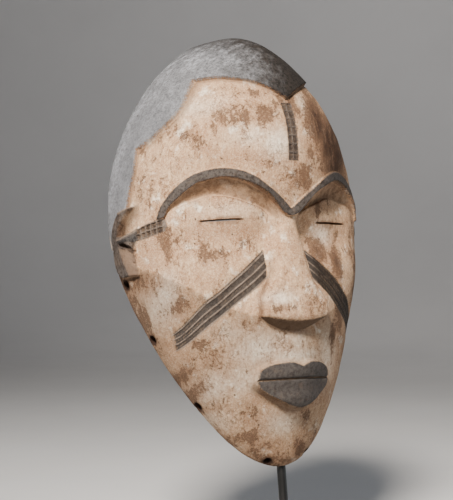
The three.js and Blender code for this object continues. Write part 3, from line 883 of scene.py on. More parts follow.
def slit(side):
    angles = np.linspace(0, 2 * math.pi, SLIT_SIDES, endpoint=False)
    share = np.cos(angles) / 2 + 0.5
    (x0, z0), (x1, z1) = SLITS[side]
    x = x0 + (x1 - x0) * share
    z = z0 + (z1 - z0) * share
    z = z + SLIT_HEIGHT / 2 * np.sign(np.sin(angles)) * np.abs(np.sin(angles)) ** 0.4
    rings = [np.stack([side * x, np.full(x.shape, f), z], axis=1) for f in SLIT_REACH]
    return prism(*rings) if side > 0 else prism(*rings[::-1])


def hole(side, rise, from_rim, radius):
    turn = side * math.radians(90 - from_rim)
    level = math.sqrt(1 - rise * rise)
    way = np.array([[level * math.sin(turn), level * math.cos(turn), rise]])
    centre = plain_head(way)[0]
    axis = outward(way)[0]
    across = np.cross(axis, (0, 0, 1))
    across /= np.linalg.norm(across)
    up = np.cross(axis, across)
    angles = np.linspace(0, 2 * math.pi, HOLE_SIDES, endpoint=False)[:, None]
    ring = radius * (np.cos(angles) * across + np.sin(angles) * up)
    return centre + ring - HOLE_REACH * axis, centre + ring + HOLE_REACH * axis, centre, axis


print("holes:", len(SLITS), "slits and", len(HOLES), "holes by the rim")

# %% The cutter
ROD_X = 2.8
ROD_FORWARD = 46.6
ROD_RADIUS = 3
SEAT_HALF_WIDTH = 8
SEAT_HEIGHT = 40
SEAT_BACK = -30.0
CLEARANCE = 0.3


def box_ring(f):
    left, right = ROD_X - SEAT_HALF_WIDTH, ROD_X + SEAT_HALF_WIDTH
    low, high = -HALF_HEIGHT - SEAT_HEIGHT / 2, -HALF_HEIGHT + SEAT_HEIGHT / 2
    return [(left, f, low), (right, f, low), (right, f, high), (left, f, high)]


def volume(places, faces):
    """Six times the solid's volume: negative where its faces look inwards."""
    fans = [(face[0], *pair) for face in faces for pair in zip(face[1:], face[2:])]
    return sum(np.dot(places[a], np.cross(places[b], places[c])) for a, b, c in fans)


solids = [slit(side) for side in (1, -1)]
bores = []
for place in HOLES:
    near_ring, far_ring, centre, axis = hole(*place)
    solids.append(prism(near_ring, far_ring))
    bores.append((centre, axis, place[-1]))
solids.append(prism(box_ring(SEAT_BACK), box_ring(ROD_FORWARD + ROD_RADIUS + CLEARANCE)))

cutter_points, cutter_faces = [], []
for solid_points, faces in solids:
    offset = sum(len(part) for part in cutter_points)
    places = to_row(solid_points)
    if volume(places - places.mean(0), faces) < 0:
        faces = [face[::-1] for face in faces]
    cutter_points.append(places)
    cutter_faces += [[corner + offset for corner in face] for face in faces]
cutter = link("cutter", mesh_from("cutter", np.vstack(cutter_points), cutter_faces))
print("cutters:", len(solids))

# %% Cutting
SHARP_FROM = math.radians(62)


def applied(piece):
    """The piece's mesh with its modifiers worked in, and the modifiers taken off."""
    bpy.context.view_layer.update()
    mesh = bpy.data.meshes.new_from_object(piece.evaluated_get(bpy.context.evaluated_depsgraph_get()))
    piece.modifiers.clear()
    piece.data = mesh
    return piece


cut = shell.modifiers.new("holes", "BOOLEAN")
cut.operation = "DIFFERENCE"
cut.solver = "MANIFOLD"
cut.object = cutter
applied(shell)
bpy.data.objects.remove(cutter)

shape = bmesh.new()
shape.from_mesh(shell.data)
bmesh.ops.triangulate(shape, faces=shape.faces)
open_edges = sum(1 for edge in shape.edges if not edge.is_manifold)
for face in shape.faces:
    face.smooth = True
shape.to_mesh(shell.data)
shape.free()
shell.data.set_sharp_from_angle(angle=SHARP_FROM)
print("mask:", len(shell.data.polygons), "triangles,", open_edges, "open edges")

# %% [markdown]
# ## Where the paint goes
# The paint follows the carving, so each point of the mesh keeps how far it lies inside each
# painted outline, in millimetres, as an attribute. The shader turns those distances into crisp
# or ragged borders of any softness, which no per-point colour could. Points that the boolean
# added take the marks of the nearest old point.

# %% Carrying the marks over
old_points = kdtree.KDTree(len(points))
for index, place in enumerate(to_row(points)):
    old_points.insert(place, index)
old_points.balance()
count = len(shell.data.vertices)
final = np.zeros(count * 3)
shell.data.vertices.foreach_get("co", final)
final = final.reshape(-1, 3)
origin_of = np.array([old_points.find(place)[1] for place in final])
marks = {name: values[origin_of] for name, values in marks.items()}
X, F, Z = marks["place"].T
print("marks carried over to", count, "points")

# %% Stains, tan and chalky places, with painted shade and light
# Brown places where the white is worn or has stains: x, z, spread across, spread up, strength.
# The large ones on the far side, at positive x, are stains and painted shade both.
# Negative x is the side nearer to the camera.
STAINS_AND_SHADE = [
    (-34, 77, 15, 8, 0.6), (-17, 80, 11, 8, 0.65), (-22, 94, 12, 5, 0.5), (8, 84, 5, 10, 0.55),
    (25, 76, 13, 24, 1.3), (44, 60, 22, 24, 1.7), (-17, 46, 12, 4, 0.55), (6, 38, 12, 10, 0.7),
    (-62, 72, 9, 12, 0.25), (-84, 42, 5, 24, 0.45), (-73, 2, 9, 7, 0.5), (-53, -9, 18, 7, 0.3),
    (-29, -3, 10, 6, 0.5), (-70, -42, 6, 8, 0.7), (-58, -67, 7, 5, 0.6), (-51, -76, 5, 7, 0.45),
    (-62, -86, 4, 9, 0.8), (-56, -98, 4, 8, 0.8), (-84, -25, 5, 8, 0.6), (-12, -48, 9, 3, 0.6),
    (8, -47, 8, 6, 0.5), (-34, -55, 4, 5, 0.5), (-26, -55, 4, 5, 0.45), (-47, -107, 7, 7, 0.45),
    (-30, -114, 7, 8, 0.45), (-28, -129, 10, 5, 0.7), (-18, -135, 9, 5, 0.6), (12, -139, 7, 6, 1.0),
    (-8, -145, 20, 5, 0.7), (12, -116, 4, 8, 0.55), (29, -9, 9, 10, 1.1), (44, -16, 7, 14, 1.1),
    (47, -50, 5, 20, 0.85), (38, -66, 5, 12, 0.5), (72, -20, 10, 60, 0.45), (28, 20, 10, 8, 0.5),
    (50, 2, 6, 10, 0.45), (4, -72, 7, 4, 0.25), (-60, 30, 20, 3, 0.3),
]
# Tan places, where the white is dirty, with painted shade on the jaw and lower cheeks, and chalky ones,
# where it is thickest, with painted light on the muzzle and the near forehead
TAN_AND_SHADE = [
    (-48, 66, 14, 7, 0.6), (-28, 50, 26, 7, 1.1), (-36, 24, 22, 5, 0.6), (10, -16, 6, 14, 0.5),
    (2, 42, 14, 10, 0.7), (-50, -8, 26, 18, 0.55), (-84, -5, 7, 16, 1.0), (-81, -27, 7, 10, 0.9),
    (-44, 4, 22, 7, 1.1), (-13, -10, 4, 22, 0.6), (-40, 24, 26, 4, 0.3), (-53, -82, 11, 9, 0.6),
    (-58, -106, 10, 16, 1.0), (-66, -76, 7, 16, 0.6), (-38, -124, 16, 9, 0.5), (-72, 50, 12, 16, 0.35),
    (34, -30, 12, 20, 0.5),
]
CHALK_AND_LIGHT = [
    (-15, -41, 9, 4, 1.0), (-76, -38, 5, 14, 1.0), (-49, -95, 8, 9, 0.8), (-34, -91, 9, 9, 0.7),
    (-12, 60, 10, 9, 1.0), (-26, 64, 14, 6, 0.6), (14, 88, 5, 8, 0.7), (-48, -118, 9, 7, 0.6),
    (-6, -121, 11, 7, 0.8), (-40, 17, 18, 5, 0.3), (34, 2, 8, 7, 0.9), (32, -78, 10, 18, 0.9),
    (0, -78, 24, 5, 1.0), (-8, -66, 12, 5, 0.7), (-24, -73, 16, 10, 1.0), (2, -68, 10, 7, 0.7),
    (-42, -62, 9, 6, 0.5), (-52, 88, 14, 8, 0.5),
]
HANDLED_RIM = 0.5


def places(spots):
    """The spots' strength at each point, where the strongest one counts."""
    strengths = [strength * bump(X - x, Z - z, wide, tall) for x, z, wide, tall, strength in spots]
    return np.max(strengths, axis=0)


# Hands that held the mask by its rim browned it all round
stain_and_shade = np.maximum(places(STAINS_AND_SHADE), HANDLED_RIM * (1 - smoothstep(8, 40, F)))
print("places: stained", (stain_and_shade > HANDLED_RIM).mean().round(3), "of all points")

# %% Brown lines
# They run where the wings of the nose meet the cheeks, and as fine cracks across its tip
NOSE_FOOT = stroke((12, 0), (14.4, -18), (17.6, -27), (22.4, -35.5), (25, -42), (25.6, -53))
NOSE_EDGE = stroke((9, -12), (12.4, -29), (18, -36.5), (23, -43), (23.6, -51))
CRACKS = [stroke((2, -34.6), (8, -33.8), (15, -35.6)), stroke((12, -36.5), (13, -41), (12.4, -46))]


def drawn(x, line, strength, width):
    return strength * np.exp(-((to_line(x, Z, line) / width) ** 2))


nose_foot = drawn(np.abs(X), NOSE_FOOT, 0.9, 1.0) * smoothstep(-6, -34, Z)
cracks = [drawn(X, crack, 0.9, 0.45) for crack in CRACKS]
brown_line = np.max([nose_foot, drawn(X, NOSE_EDGE, 0.6, 0.9), *cracks], axis=0)
print("lines:", len(CRACKS) + 2)

# %% Walls of the bores
# The walls of the holes are painted dark, as shade
BORE_REACH = 0.02
bore = np.zeros(count)
row_centres = to_row([centre for centre, axis, radius in bores])
row_axes = to_row([centre + axis for centre, axis, radius in bores]) - row_centres
row_axes /= np.linalg.norm(row_axes, axis=1, keepdims=True)
for centre, axis, (_, _, radius) in zip(row_centres, row_axes, bores):
    offset = final - centre
    along = offset @ axis
    distance = np.linalg.norm(offset - along[:, None] * axis, axis=1) / MM
    on_wall = 1 - smoothstep(radius + 0.05, radius + 0.8, distance)
    bore = np.maximum(bore, (np.abs(along) < BORE_REACH) * on_wall)
print("bores:", int((bore > 0.5).sum()), "points on their walls")


# %% Edges and creases
def bentness(mesh, positions):
    """Above 0 on convex edges and below it in creases, evened out over the neighbours."""
    ends = np.zeros(len(mesh.edges) * 2, int)
    mesh.edges.foreach_get("vertices", ends)
    start, end = ends.reshape(-1, 2).T
    normals = np.zeros(len(positions) * 3)
    mesh.vertices.foreach_get("normal", normals)
    normals = normals.reshape(-1, 3)
    way = positions[end] - positions[start]
    reach = np.linalg.norm(way, axis=1) + 1e-9
    total, weight = np.zeros(len(positions)), np.zeros(len(positions))
    for here, sign in ((start, 1), (end, -1)):
        np.add.at(total, here, -sign * (way * normals[here]).sum(1) / reach)
        np.add.at(weight, here, 1)
    rough = total / np.maximum(weight, 1)
    total, weight = rough.copy(), np.ones(len(positions))
    for here, there in ((start, end), (end, start)):
        np.add.at(total, here, rough[there])
        np.add.at(weight, here, 1)
    return total / weight


bent = bentness(shell.data, final)
print("bentness:", np.percentile(bent, (1, 50, 99)).round(3))

# %% Shaded and worn places
NOSE_UNDERSIDE = -52.6
fold = marks["fold"]
under_brow = np.where((fold < 0) & (np.abs(X) > 8), smoothstep(0.2, 1.4, -fold), 0)
under_brow = under_brow * smoothstep(-0.5, 0.5, height_of(BROW_FOOT, np.abs(X)) - Z) * (Z > 8)
# The nose's underside is painted dark: dirt, and the shade under the nose
nose_end = NOSE_UNDERSIDE - TIP_DROP * (1 - (X / TIP_HALF_WIDTH) ** 2)
under_nose = step_at(marks["nose"], 0.3) * smoothstep(0.3, -0.3, Z - nose_end)
# Painted shade in the recesses: by the ear, under the lower lip and in the notches' cells
under_lip = (marks["lips"] < 0) * (1 - smoothstep(1.5, 4.5, -marks["lips"])) * smoothstep(-92, -98, Z)
cells = (0.7 * marks["temple_cells"], 0.6 * marks["ladder_cells"])
recess = np.max([marks["recess"], 0.75 * under_lip, *cells], axis=0)
rubbed_notches = step_at(marks["temple"]) * (F > TEMPLE_FROM) * (1 - marks["temple_cells"])
rubbed_ladder = step_at(marks["ladder"]) * (1 - marks["ladder_cells"])
pale = np.max([0.8 * marks["ear_line"], 0.7 * rubbed_notches, 0.35 * rubbed_ladder], axis=0)
print("recesses:", (recess > 0.5).mean().round(3), "of all points")

# %% The attributes
outside = marks["wall"] < 0.02
FAR_OUTSIDE = -9
# Distances from the painted outlines, in millimetres
distances = {
    "hair": marks["hair"],
    "lips": marks["lips"],
    "band": marks["band"],
    "dark": np.max([marks[name] for name in ("brow", "band", "ladder", "lips", "temple")], axis=0),
}
# Shares from 0 to 1, and none of them on the inside
shares = {
    "stain_and_shade": stain_and_shade, "tan_and_shade": places(TAN_AND_SHADE), "chalk": places(CHALK_AND_LIGHT), "line": brown_line,
    "under_brow": under_brow, "under_nose": under_nose, "recess": np.clip(recess, 0, 1), "pale": pale,
    "grey": step_at(marks["ear"], 0.8) * (1 - step_at(marks["scoop"], 0.8)),
    "facet": step_at(marks["facet"], 0.6),
}
attributes = {name: np.where(outside, values, FAR_OUTSIDE) for name, values in distances.items()}
attributes.update({name: values * outside for name, values in shares.items()})
attributes.update({"side": X, "band_share": marks["band_share"], "bent": bent, "bore": bore})
attributes["inside"] = smoothstep(0.02, 0.3, marks["wall"])
attributes["rim_worn"] = (1 - smoothstep(1.2, 2.6, F)) * (1 - smoothstep(2, 12, Z))
for name, values in attributes.items():
    made = shell.data.attributes.new(name, "FLOAT", "POINT")
    made.data.foreach_set("value", np.asarray(values, np.float32))
print("attributes:", ", ".join(attributes))

# %% [markdown]
# ## Shader tools
# A material is a tree of nodes. A few short helpers keep it readable: one makes a node and
# plugs in its values, the others are the steps that every paint layer here is made of.
# Mottling, which every material here shows at its own scale, is a node group with named inputs.
# So are the pits, which the wood has in two sizes.

# %% Node helpers
def node(tree, kind, values=None, **settings):
    """A new node, with settings on it and values or links on its inputs."""
    made = tree.nodes.new(kind)
    for name, value in settings.items():
        setattr(made, name, value)
    for name, value in (values or {}).items():
        if isinstance(value, bpy.types.NodeSocket):
            tree.links.new(value, made.inputs[name])
        else:
            made.inputs[name].default_value = value
    return made


def maths(tree, operation, a, b=0.0):
    return node(tree, "ShaderNodeMath", {0: a, 1: b}, operation=operation).outputs[0]


def blend(tree, share, a, b):
    """Colour a where share is 0 and colour b where it is 1."""
    return node(tree, "ShaderNodeMix", {0: share, 6: a, 7: b}, data_type="RGBA").outputs[2]


def fade(tree, value, low, high, to_low=0.0, to_high=1.0):
    values = {"Value": value, "From Min": low, "From Max": high, "To Min": to_low, "To Max": to_high}
    return node(tree, "ShaderNodeMapRange", values, interpolation_type="SMOOTHSTEP").outputs["Result"]


def attribute(tree, name):
    return node(tree, "ShaderNodeAttribute", attribute_name=name).outputs["Fac"]


def placed(tree, group, values):
    return node(tree, "ShaderNodeGroup", values, node_tree=group).outputs


print("helpers: node, maths, blend, fade, attribute and placed")


# %% Materials and colours
def new_material(name):
    """A material, its tree, its shader's inputs and the place on the object, in metres."""
    material = bpy.data.materials.new(name)
    material.use_nodes = True
    tree = material.node_tree
    place = node(tree, "ShaderNodeTexCoord").outputs["Object"]
    return material, tree, tree.nodes["Principled BSDF"].inputs, place


def roughened(tree, inputs, height, strength, distance):
    """Raises the surface by a height from 0 to 1, as far as distance."""
    values = {"Strength": strength, "Distance": distance, "Height": height}
    tree.links.new(node(tree, "ShaderNodeBump", values).outputs[0], inputs["Normal"])


def rgb(red, green, blue):
    """A colour as a paint chart gives it, 0 to 255, in the linear values that Blender mixes."""
    shares = [c / 255 for c in (red, green, blue)]
    return (*(c / 12.92 if c < 0.04045 else ((c + 0.055) / 1.055) ** 2.4 for c in shares), 1)


print("chart white:", rgb(255, 255, 255))

# %% Mottling and pits
FLOAT, VECTOR = "NodeSocketFloat", "NodeSocketVector"


def new_group(name, inputs, outputs):
    group = bpy.data.node_groups.new(name, "ShaderNodeTree")
    group.interface.new_socket("Vector", in_out="INPUT", socket_type=VECTOR)
    for label, value in inputs.items():
        group.interface.new_socket(label, in_out="INPUT", socket_type=FLOAT).default_value = value
    for label in outputs:
        group.interface.new_socket(label, in_out="OUTPUT", socket_type=FLOAT)
    return group, node(group, "NodeGroupInput").outputs, node(group, "NodeGroupOutput").inputs


sizes = {"Size mm": 5.0, "Detail": 5.0, "Roughness": 0.6, "Low": 0.45, "High": 0.55}
mottle, given, out = new_group("mottle", sizes, ["Mask", "Raw"])
values = {name: given[name] for name in ("Vector", "Detail", "Roughness")}
values["Scale"] = maths(mottle, "DIVIDE", 1 / MM, given["Size mm"])
raw = node(mottle, "ShaderNodeTexNoise", values).outputs["Fac"]
mottle.links.new(raw, out["Raw"])
mottle.links.new(fade(mottle, raw, given["Low"], given["High"]), out["Mask"])

pits, given, out = new_group("pits", {"Spacing mm": 3.0, "Pit size": 0.12, "Share": 0.5}, ["Mask"])
scale = maths(pits, "DIVIDE", 1 / MM, given["Spacing mm"])
values = {"Vector": given["Vector"], "Scale": scale, "Randomness": 1.0}
pit_cells = node(pits, "ShaderNodeTexVoronoi", values).outputs
chance = node(pits, "ShaderNodeSeparateColor", {0: pit_cells["Color"]}).outputs[0]
radius = maths(pits, "MULTIPLY", given["Pit size"], maths(pits, "ADD", chance, 0.3))
spot = fade(pits, maths(pits, "SUBTRACT", pit_cells["Distance"], radius), 0.0, 0.06, 1.0, 0.0)
pits.links.new(maths(pits, "MULTIPLY", spot, maths(pits, "LESS_THAN", chance, given["Share"])), out["Mask"])
print("groups:", mottle.name, pits.name)

# %% [markdown]
# ## The painted wood
# The real mask is pale wood, darkened by handling, under a coat of white clay that has rubbed
# off in patches. Hair, brows, bands and lips were painted over it with soot and clay greys.
# One picture of it all could be painted by hand, but it would be sharp at one distance only. The
# shader stacks the same coats in the same order instead. Each coat is a pigment and its
# thickness, which comes from noise and from the distances to the outlines.

# %% The pigments
PIGMENTS = {
    "wood": (78, 58, 46), "wood grain": (130, 100, 78), "wood streaks": (98, 74, 58),
    "adzed wood": (96, 68, 48), "adzed grain": (140, 104, 76), "bore": (52, 36, 28), "pit": (62, 46, 38),
    "warm clay": (206, 165, 126), "clay": (230, 200, 163), "fresh clay": (246, 228, 202),
    "chalk": (255, 245, 228),
    "tan": (196, 152, 114), "tan streaks": (172, 130, 96), "tan places": (164, 124, 92),
    "tan specks": (140, 102, 72), "brown streaks": (152, 110, 79), "grain under clay": (166, 122, 88),
    "haze": (154, 114, 84), "handled clay": (132, 100, 76), "flake edge": (80, 57, 44), "soil": (66, 47, 36),
    "flake loop": (108, 76, 54), "brown line": (92, 64, 46), "crease": (110, 80, 60), "recess": (56, 40, 30),
    "shade": (118, 92, 72), "lit shade": (168, 138, 110), "under nose": (60, 46, 36),
    "hair": (170, 173, 181), "grey hair": (128, 130, 136), "hair edge": (92, 92, 95),
    "hair specks": (58, 56, 56),
    "light hair": (170, 172, 177), "side hair": (110, 112, 118), "under hair": (98, 74, 56),
    "brown hair": (46, 40, 36), "black hair": (20, 17, 15),
    "ear": (78, 74, 72), "ear specks": (38, 35, 34), "ear facet": (122, 100, 84),
    "soot": (70, 67, 66), "soot specks": (34, 31, 31), "band": (38, 35, 34), "far band": (14, 12, 11),
    "lips": (62, 60, 60), "lip specks": (40, 38, 38), "thin soot": (88, 75, 66),
    "rubbed edge": (150, 132, 118), "ridge": (186, 156, 126), "worn rim": (228, 200, 164),
}
painted_wood, wood, wood_inputs, here = new_material("painted_wood")
plus, minus, larger = (partial(maths, wood, kind) for kind in ("ADD", "SUBTRACT", "MAXIMUM"))
size_of, ramp, mark = partial(maths, wood, "ABSOLUTE"), partial(fade, wood), partial(attribute, wood)


def times(*factors):
    return reduce(partial(maths, wood, "MULTIPLY"), factors)


def layered(under, *coats):
    """Coats over a pigment or colour: each a pigment or colour, and factors of its thickness."""
    for coat, *thickness in coats:
        a, b = (rgb(*PIGMENTS[colour]) if isinstance(colour, str) else colour for colour in (under, coat))
        under = blend(wood, times(*thickness), a, b)
    return under


print("pigments:", len(PIGMENTS))

# %% The wood's noises
upright = node(wood, "ShaderNodeMapping", {"Vector": here, "Rotation": (LEAN, 0, 0)}).outputs[0]
along_grain, streaked = (
    node(wood, "ShaderNodeMapping", {"Vector": upright, "Scale": (1, 1, squeeze)}).outputs[0]
    for squeeze in (0.12, 0.5)
)


def patch(vector, size, low, high, detail=6.0, rough=0.62):
    """Patches about size mm wide, 0 where the noise is under low and 1 where it is over high."""
    values = {"Vector": vector, "Size mm": size, "Detail": detail, "Roughness": rough}
    return placed(wood, mottle, {**values, "Low": low, "High": high})["Mask"]


def noise(vector, size, detail, rough):
    values = {"Vector": vector, "Size mm": size, "Detail": detail, "Roughness": rough}
    return placed(wood, mottle, values)["Raw"]


fine = patch(here, 0.9, 0.35, 0.7, 4.0, 0.7)
speckle = patch(here, 2.2, 0.42, 0.62, 5.0, 0.75)
grain = patch(along_grain, 1.6, 0.3, 0.7, 5.0, 0.6)
broad, middle = noise(streaked, 18, 4.0, 0.6), noise(streaked, 5, 6.0, 0.7)
small = noise(here, 1.7, 5.0, 0.8)
print("noises:", len(wood.nodes), "nodes")

# %% Bare wood and white clay
bare_wood = layered("wood", ("wood grain", grain), ("wood streaks", patch(streaked, 7, 0.4, 0.62)))
clay = layered(
    "warm clay",
    ("clay", patch(here, 30, 0.38, 0.62)),
    ("tan", patch(here, 14, 0.44, 0.62), 0.6),
    ("tan streaks", patch(streaked, 5, 0.46, 0.62), 0.5),
    # Tan where the white is dirty, and painted shade on the jaw and lower cheeks
    ("tan places", mark("tan_and_shade"), 0.85),
    ("tan specks", speckle, 0.55),
    ("brown streaks", patch(streaked, 3.4, 0.46, 0.6), 0.6),
    # Chalky white where it is thickest, and painted light on the muzzle and the near forehead
    ("chalk", larger(mark("chalk"), patch(here, 11, 0.56, 0.68)), ramp(speckle, 0, 1, 0.95, 0.5)),
    ("fresh clay", fine, 0.5),
    ("grain under clay", grain, 0.3),
)
print("clay:", len(wood.nodes), "nodes")

# %% Flaked and dirty clay
# The clay flakes most where it was handled or has stains, and where shade is painted in on the far
# side, and each flake leaves a thin brown edge
stain_and_shade_share, bent_edge = mark("stain_and_shade"), mark("bent")
handled = plus(stain_and_shade_share, ramp(broad, 0.48, 0.7, 0.0, 0.45))
flakes = plus(times(middle, 0.5), times(small, 0.5))
worn_down = minus(ramp(handled, 0, 1.1, 0.4, 0.58), flakes)
flecks = ramp(noise(here, 1.3, 3.0, 0.7), 0.52, 0.62)
bare = times(ramp(worn_down, -0.006, 0.02), ramp(flecks, 0, 1, 1.0, 0.3))
flake_edge = ramp(size_of(worn_down), 0.002, 0.014, 1.0, 0.0)
clusters = plus(patch(here, 26, 0.48, 0.6), times(stain_and_shade_share, 0.8))
loops = ramp(size_of(minus(noise(here, 8, 6.0, 0.68), 0.5)), 0.003, 0.014, 1.0, 0.0)
loops = times(loops, ramp(clusters, 0, 1, 0.12, 0.8))
paint = layered(
    clay,
    ("haze", ramp(worn_down, -0.14, 0.02), 0.45),
    ("handled clay", ramp(handled, 0.1, 1.0, 0.0, 0.55)),
    (bare_wood, bare, 0.8),
    ("flake edge", flake_edge, ramp(handled, 0, 0.6, 0.3, 0.9)),
    # Darkest brown where the stains are strongest: dirt, and painted shade on the far side
    ("soil", ramp(stain_and_shade_share, 0.7, 1.3), ramp(middle, 0.38, 0.53, 0.3, 0.95)),
    ("flake loop", loops),
    ("brown line", mark("line"), ramp(middle, 0.36, 0.52, 0.45, 1.0)),
    # Painted shade in the creases
    ("crease", ramp(bent_edge, -0.03, -0.16), 0.55),
    (layered("shade", ("lit shade", patch(streaked, 4, 0.35, 0.65))), mark("under_brow"), 0.72),
    # Dirt and painted shade under the nose
    ("under nose", mark("under_nose"), 0.9),
)
print("flaked clay:", len(wood.nodes), "nodes")

# %% Hair and ears
# The hair is pale blue grey, darker and browner towards the far side, by soot and painted shade,
# with a painted shadow line under its edge
ragged = times(minus(fine, 0.5), 0.7)
hair_edge = plus(mark("hair"), ragged)
across = plus(mark("side"), times(middle, 60.0))
grey = layered(
    "hair",
    ("grey hair", patch(here, 9, 0.4, 0.6)),
    ("hair edge", ramp(mark("hair"), 3, 20, 0.6, 0.0)),
    ("hair specks", speckle, 0.7),
    ("light hair", fine, 0.4),
    ("side hair", ramp(mark("side"), -88, -42, 0.5, 0.0)),
    # Soot, and painted shade towards the far side
    (
        layered("brown hair", ("black hair", speckle)),
        ramp(across, -18, 34, 0.0, 0.98), ramp(mark("side"), 42, 72, 1.0, 0.35),
    ),
)
ear_grey = layered("ear", ("ear specks", speckle), ("ear facet", mark("facet"), 0.75))
paint = layered(
    paint,
    # Painted shadow under the hair's edge
    ("under hair", ramp(hair_edge, -4.0, -0.2), ramp(hair_edge, 0.3, -0.1), 0.62),
    (grey, ramp(hair_edge, -0.25, 0.25)),
    (ear_grey, mark("grey"), 0.9),
)
print("hair:", len(wood.nodes), "nodes")

# %% Soot on brows, bands and lips
# It is thin where hands and cloth have rubbed it, and gone from the ribs and edges
dark_edge = plus(mark("dark"), ragged)
on_band = ramp(mark("band"), -0.5, 0.5)
# The band on the far side is painted darker, as shade, with fainter ribs
on_shaded_far_band = times(ramp(mark("side"), 18, 26), on_band)
soot = layered(
    "soot",
    ("soot specks", speckle),
    ("band", on_band, 0.6),
    ("far band", on_shaded_far_band, 0.9),
    (layered("lips", ("lip specks", speckle)), ramp(mark("lips"), -0.5, 0.5)),
    ("thin soot", patch(here, 4, 0.5, 0.72), 0.4),
)
from_ribs = [size_of(minus(mark("band_share"), rib)) for rib in BAND_RIBS]
ribs = reduce(larger, [ramp(distance, 0.018, 0.05, 1.0, 0.0) for distance in from_ribs])
ribs = times(ribs, ramp(mark("band"), -0.6, -0.1), ramp(middle, 0.3, 0.5, 0.35, 0.9))
rubbed = times(larger(mark("pale"), ribs), ramp(fine, 0, 1, 0.4, 0.95), minus(1.0, times(on_shaded_far_band, 0.85)))
paint = layered(
    paint,
    (soot, ramp(dark_edge, -0.3, 0.3, 0.0, 0.96)),
    ("rubbed edge", rubbed),
    ("ridge", ramp(bent_edge, 0.05, 0.2), 0.5),
    # Painted shade in the recesses
    ("recess", mark("recess"), 0.75),
    ("worn rim", mark("rim_worn"), 0.8),
)
print("soot:", len(wood.nodes), "nodes")

# %% Pits, and the wood inside
# The pits are dark at the bottom. Inside, the adzed wood is bare, and the holes' walls are
# painted near black, as shade
near_pits = placed(wood, pits, {"Vector": here, "Spacing mm": 2.6, "Pit size": 0.2, "Share": 0.32})["Mask"]
big_pits = placed(wood, pits, {"Vector": here, "Spacing mm": 8.0, "Pit size": 0.09, "Share": 0.4})["Mask"]
pitted = larger(times(near_pits, patch(here, 16, 0.45, 0.6)), big_pits)
paint = layered(
    paint,
    ("pit", pitted, 0.85),
    (layered("adzed wood", ("adzed grain", grain)), mark("inside")),
    # Painted shade on the walls of the holes
    ("bore", mark("bore")),
)
wood.links.new(paint, wood_inputs["Base Color"])
wood.links.new(ramp(dark_edge, -0.3, 0.3, 0.86, 0.62), wood_inputs["Roughness"])
wood_inputs["Specular IOR Level"].default_value = 0.22

coat_height = times(minus(1.0, larger(bare, loops)), 0.16)
lumpy, dusty = plus(times(small, 0.5), times(middle, 0.6)), times(plus(fine, speckle), 0.07)
relief = minus(plus(plus(coat_height, lumpy), dusty), times(pitted, 0.3))
roughened(wood, wood_inputs, relief, 1.0, MM)

shell.data.materials.clear()
shell.data.materials.append(painted_wood)
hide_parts("mask")
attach(shell, "root")
print("painted wood:", len(wood.nodes), "nodes")

# %% [markdown]
# ## The stand
# The rod is a plain round steel bar with a short crosspiece welded across its top, and it is
# welded to a flat plate. All of it is lacquered black. Its solids are true as they are, so they
# only take a material: a satin black, greyer where dust lies, and finely uneven as lacquer is.

# %% Black steel
DUST_SIZE, LACQUER_SIZE = 22.0, 0.8
BLACK, DUSTY_BLACK = rgb(17, 17, 18), rgb(34, 33, 33)
black_steel, steel, steel_inputs, place = new_material("black_steel")
dust = placed(steel, mottle, {"Vector": place, "Size mm": DUST_SIZE, "Low": 0.35, "High": 0.75})["Mask"]
lacquer = placed(steel, mottle, {"Vector": place, "Size mm": LACQUER_SIZE, "Low": 0.3, "High": 0.7})["Mask"]
colour = blend(steel, maths(steel, "MULTIPLY", dust, 0.5), BLACK, DUSTY_BLACK)
steel.links.new(colour, steel_inputs["Base Color"])
steel.links.new(fade(steel, dust, 0, 1, 0.42, 0.6), steel_inputs["Roughness"])
steel_inputs["Metallic"].default_value = 0.3
roughened(steel, steel_inputs, lacquer, 0.25, 0.1 * MM)
for name in ("stand_rod", "stand_foot"):
    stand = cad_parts[name]
    stand.data.materials.clear()
    stand.data.materials.append(black_steel)
print("black steel:", len(steel.nodes), "nodes")

# %% [markdown]
# ## The welds
# A weld is a row of small round beads that follows a joint, each lying over the last. The rule
# is the same for any joint, so a tree of geometry nodes makes it: the joint is drawn as a ring
# of edges, and the tree sets beads along it, each a little larger or smaller by chance.

# %% The rule for a weld
WELD = {"Bead radius": 1.05 * MM, "Spacing": 1.1 * MM, "Unevenness": 0.12, "Seed": 5}
WELD_INPUTS = {
    "Joint": "Geometry", "Bead radius": "Float", "Spacing": "Float", "Unevenness": "Float", "Seed": "Int",
    "Material": "Material",
}
rule = bpy.data.node_groups.new("weld", "GeometryNodeTree")
sockets = {
    name: rule.interface.new_socket(name, in_out="INPUT", socket_type="NodeSocket" + kind).identifier
    for name, kind in WELD_INPUTS.items()
}
rule.interface.new_socket("Weld", in_out="OUTPUT", socket_type="NodeSocketGeometry")


def step_to(kind, values, output=0, **settings):
    return node(rule, kind, values, **settings).outputs[output]


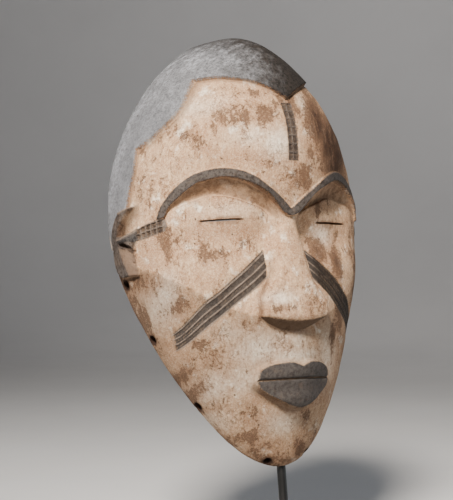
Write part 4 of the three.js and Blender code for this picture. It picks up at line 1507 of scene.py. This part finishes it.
given = node(rule, "NodeGroupInput").outputs
curve = step_to("GeometryNodeMeshToCurve", {"Mesh": given["Joint"]})
even = step_to("GeometryNodeResampleCurve", {"Curve": curve, "Length": given["Spacing"]}, mode="LENGTH")
bead = step_to("GeometryNodeMeshIcoSphere", {"Radius": given["Bead radius"], "Subdivisions": 3})
least, most = (maths(rule, kind, 1.0, given["Unevenness"]) for kind in ("SUBTRACT", "ADD"))
chances = {2: least, 3: most, 8: given["Seed"]}
size = step_to("FunctionNodeRandomValue", chances, output=1, data_type="FLOAT")
beads = step_to("GeometryNodeInstanceOnPoints", {"Points": even, "Instance": bead, "Scale": size})
solid = step_to("GeometryNodeRealizeInstances", {"Geometry": beads})
smooth = step_to("GeometryNodeSetShadeSmooth", {"Geometry": solid})
lacquered = step_to("GeometryNodeSetMaterial", {"Geometry": smooth, "Material": given["Material"]})
rule.links.new(lacquered, node(rule, "NodeGroupOutput").inputs[0])
print("weld rule:", len(rule.nodes), "nodes")

# %% The two welds
CROSSPIECE_HEIGHT = 111
JOINT_STEPS = 48
# How far the beads' middles lie from the rod's side, and from the plate or the crosspiece
WELD_OUT, WELD_OFF = 0.2, 0.3

# The lower ring lies on the foot, and the upper one where a round bar lies across the end of another
around = np.linspace(0, 2 * math.pi, JOINT_STEPS, endpoint=False)
ring_x = ROD_X + (ROD_RADIUS + WELD_OUT) * np.cos(around)
ring_f = ROD_FORWARD + (ROD_RADIUS + WELD_OUT) * np.sin(around)
upper = CROSSPIECE_HEIGHT - ROD_RADIUS * np.abs(np.cos(around)) - WELD_OFF
lower = (FOOT_TOP - MASK_MIDDLE - ring_f * math.sin(LEAN)) / math.cos(LEAN) + WELD_OFF
rings = np.vstack([np.stack([ring_x, ring_f, heights], axis=1) for heights in (lower, upper)])
ring = [(step, (step + 1) % JOINT_STEPS) for step in range(JOINT_STEPS)]
joint = bpy.data.meshes.new("weld_beads")
joint.from_pydata(to_row(rings).tolist(), ring + [(a + JOINT_STEPS, b + JOINT_STEPS) for a, b in ring], [])
welds = link("weld_beads", joint)
modifier = welds.modifiers.new("weld", "NODES")
modifier.node_group = rule
for name, value in {**WELD, "Material": black_steel}.items():
    modifier[sockets[name]] = value
applied(welds)
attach(welds, "root")
print("welds:", len(welds.data.polygons), "faces")

# %% The cove's paint
CLOUD_SIZE = 400.0
PALE, PALER = rgb(212, 212, 213), rgb(218, 218, 219)
pale_wall, wall_tree, wall_inputs, place = new_material("pale_wall")
cloud = placed(wall_tree, mottle, {"Vector": place, "Size mm": CLOUD_SIZE, "Low": 0.3, "High": 0.7})["Mask"]
wall_tree.links.new(blend(wall_tree, cloud, PALE, PALER), wall_inputs["Base Color"])
wall_inputs["Roughness"].default_value = 0.9
cove.data.materials.append(pale_wall)
print("cove: painted")
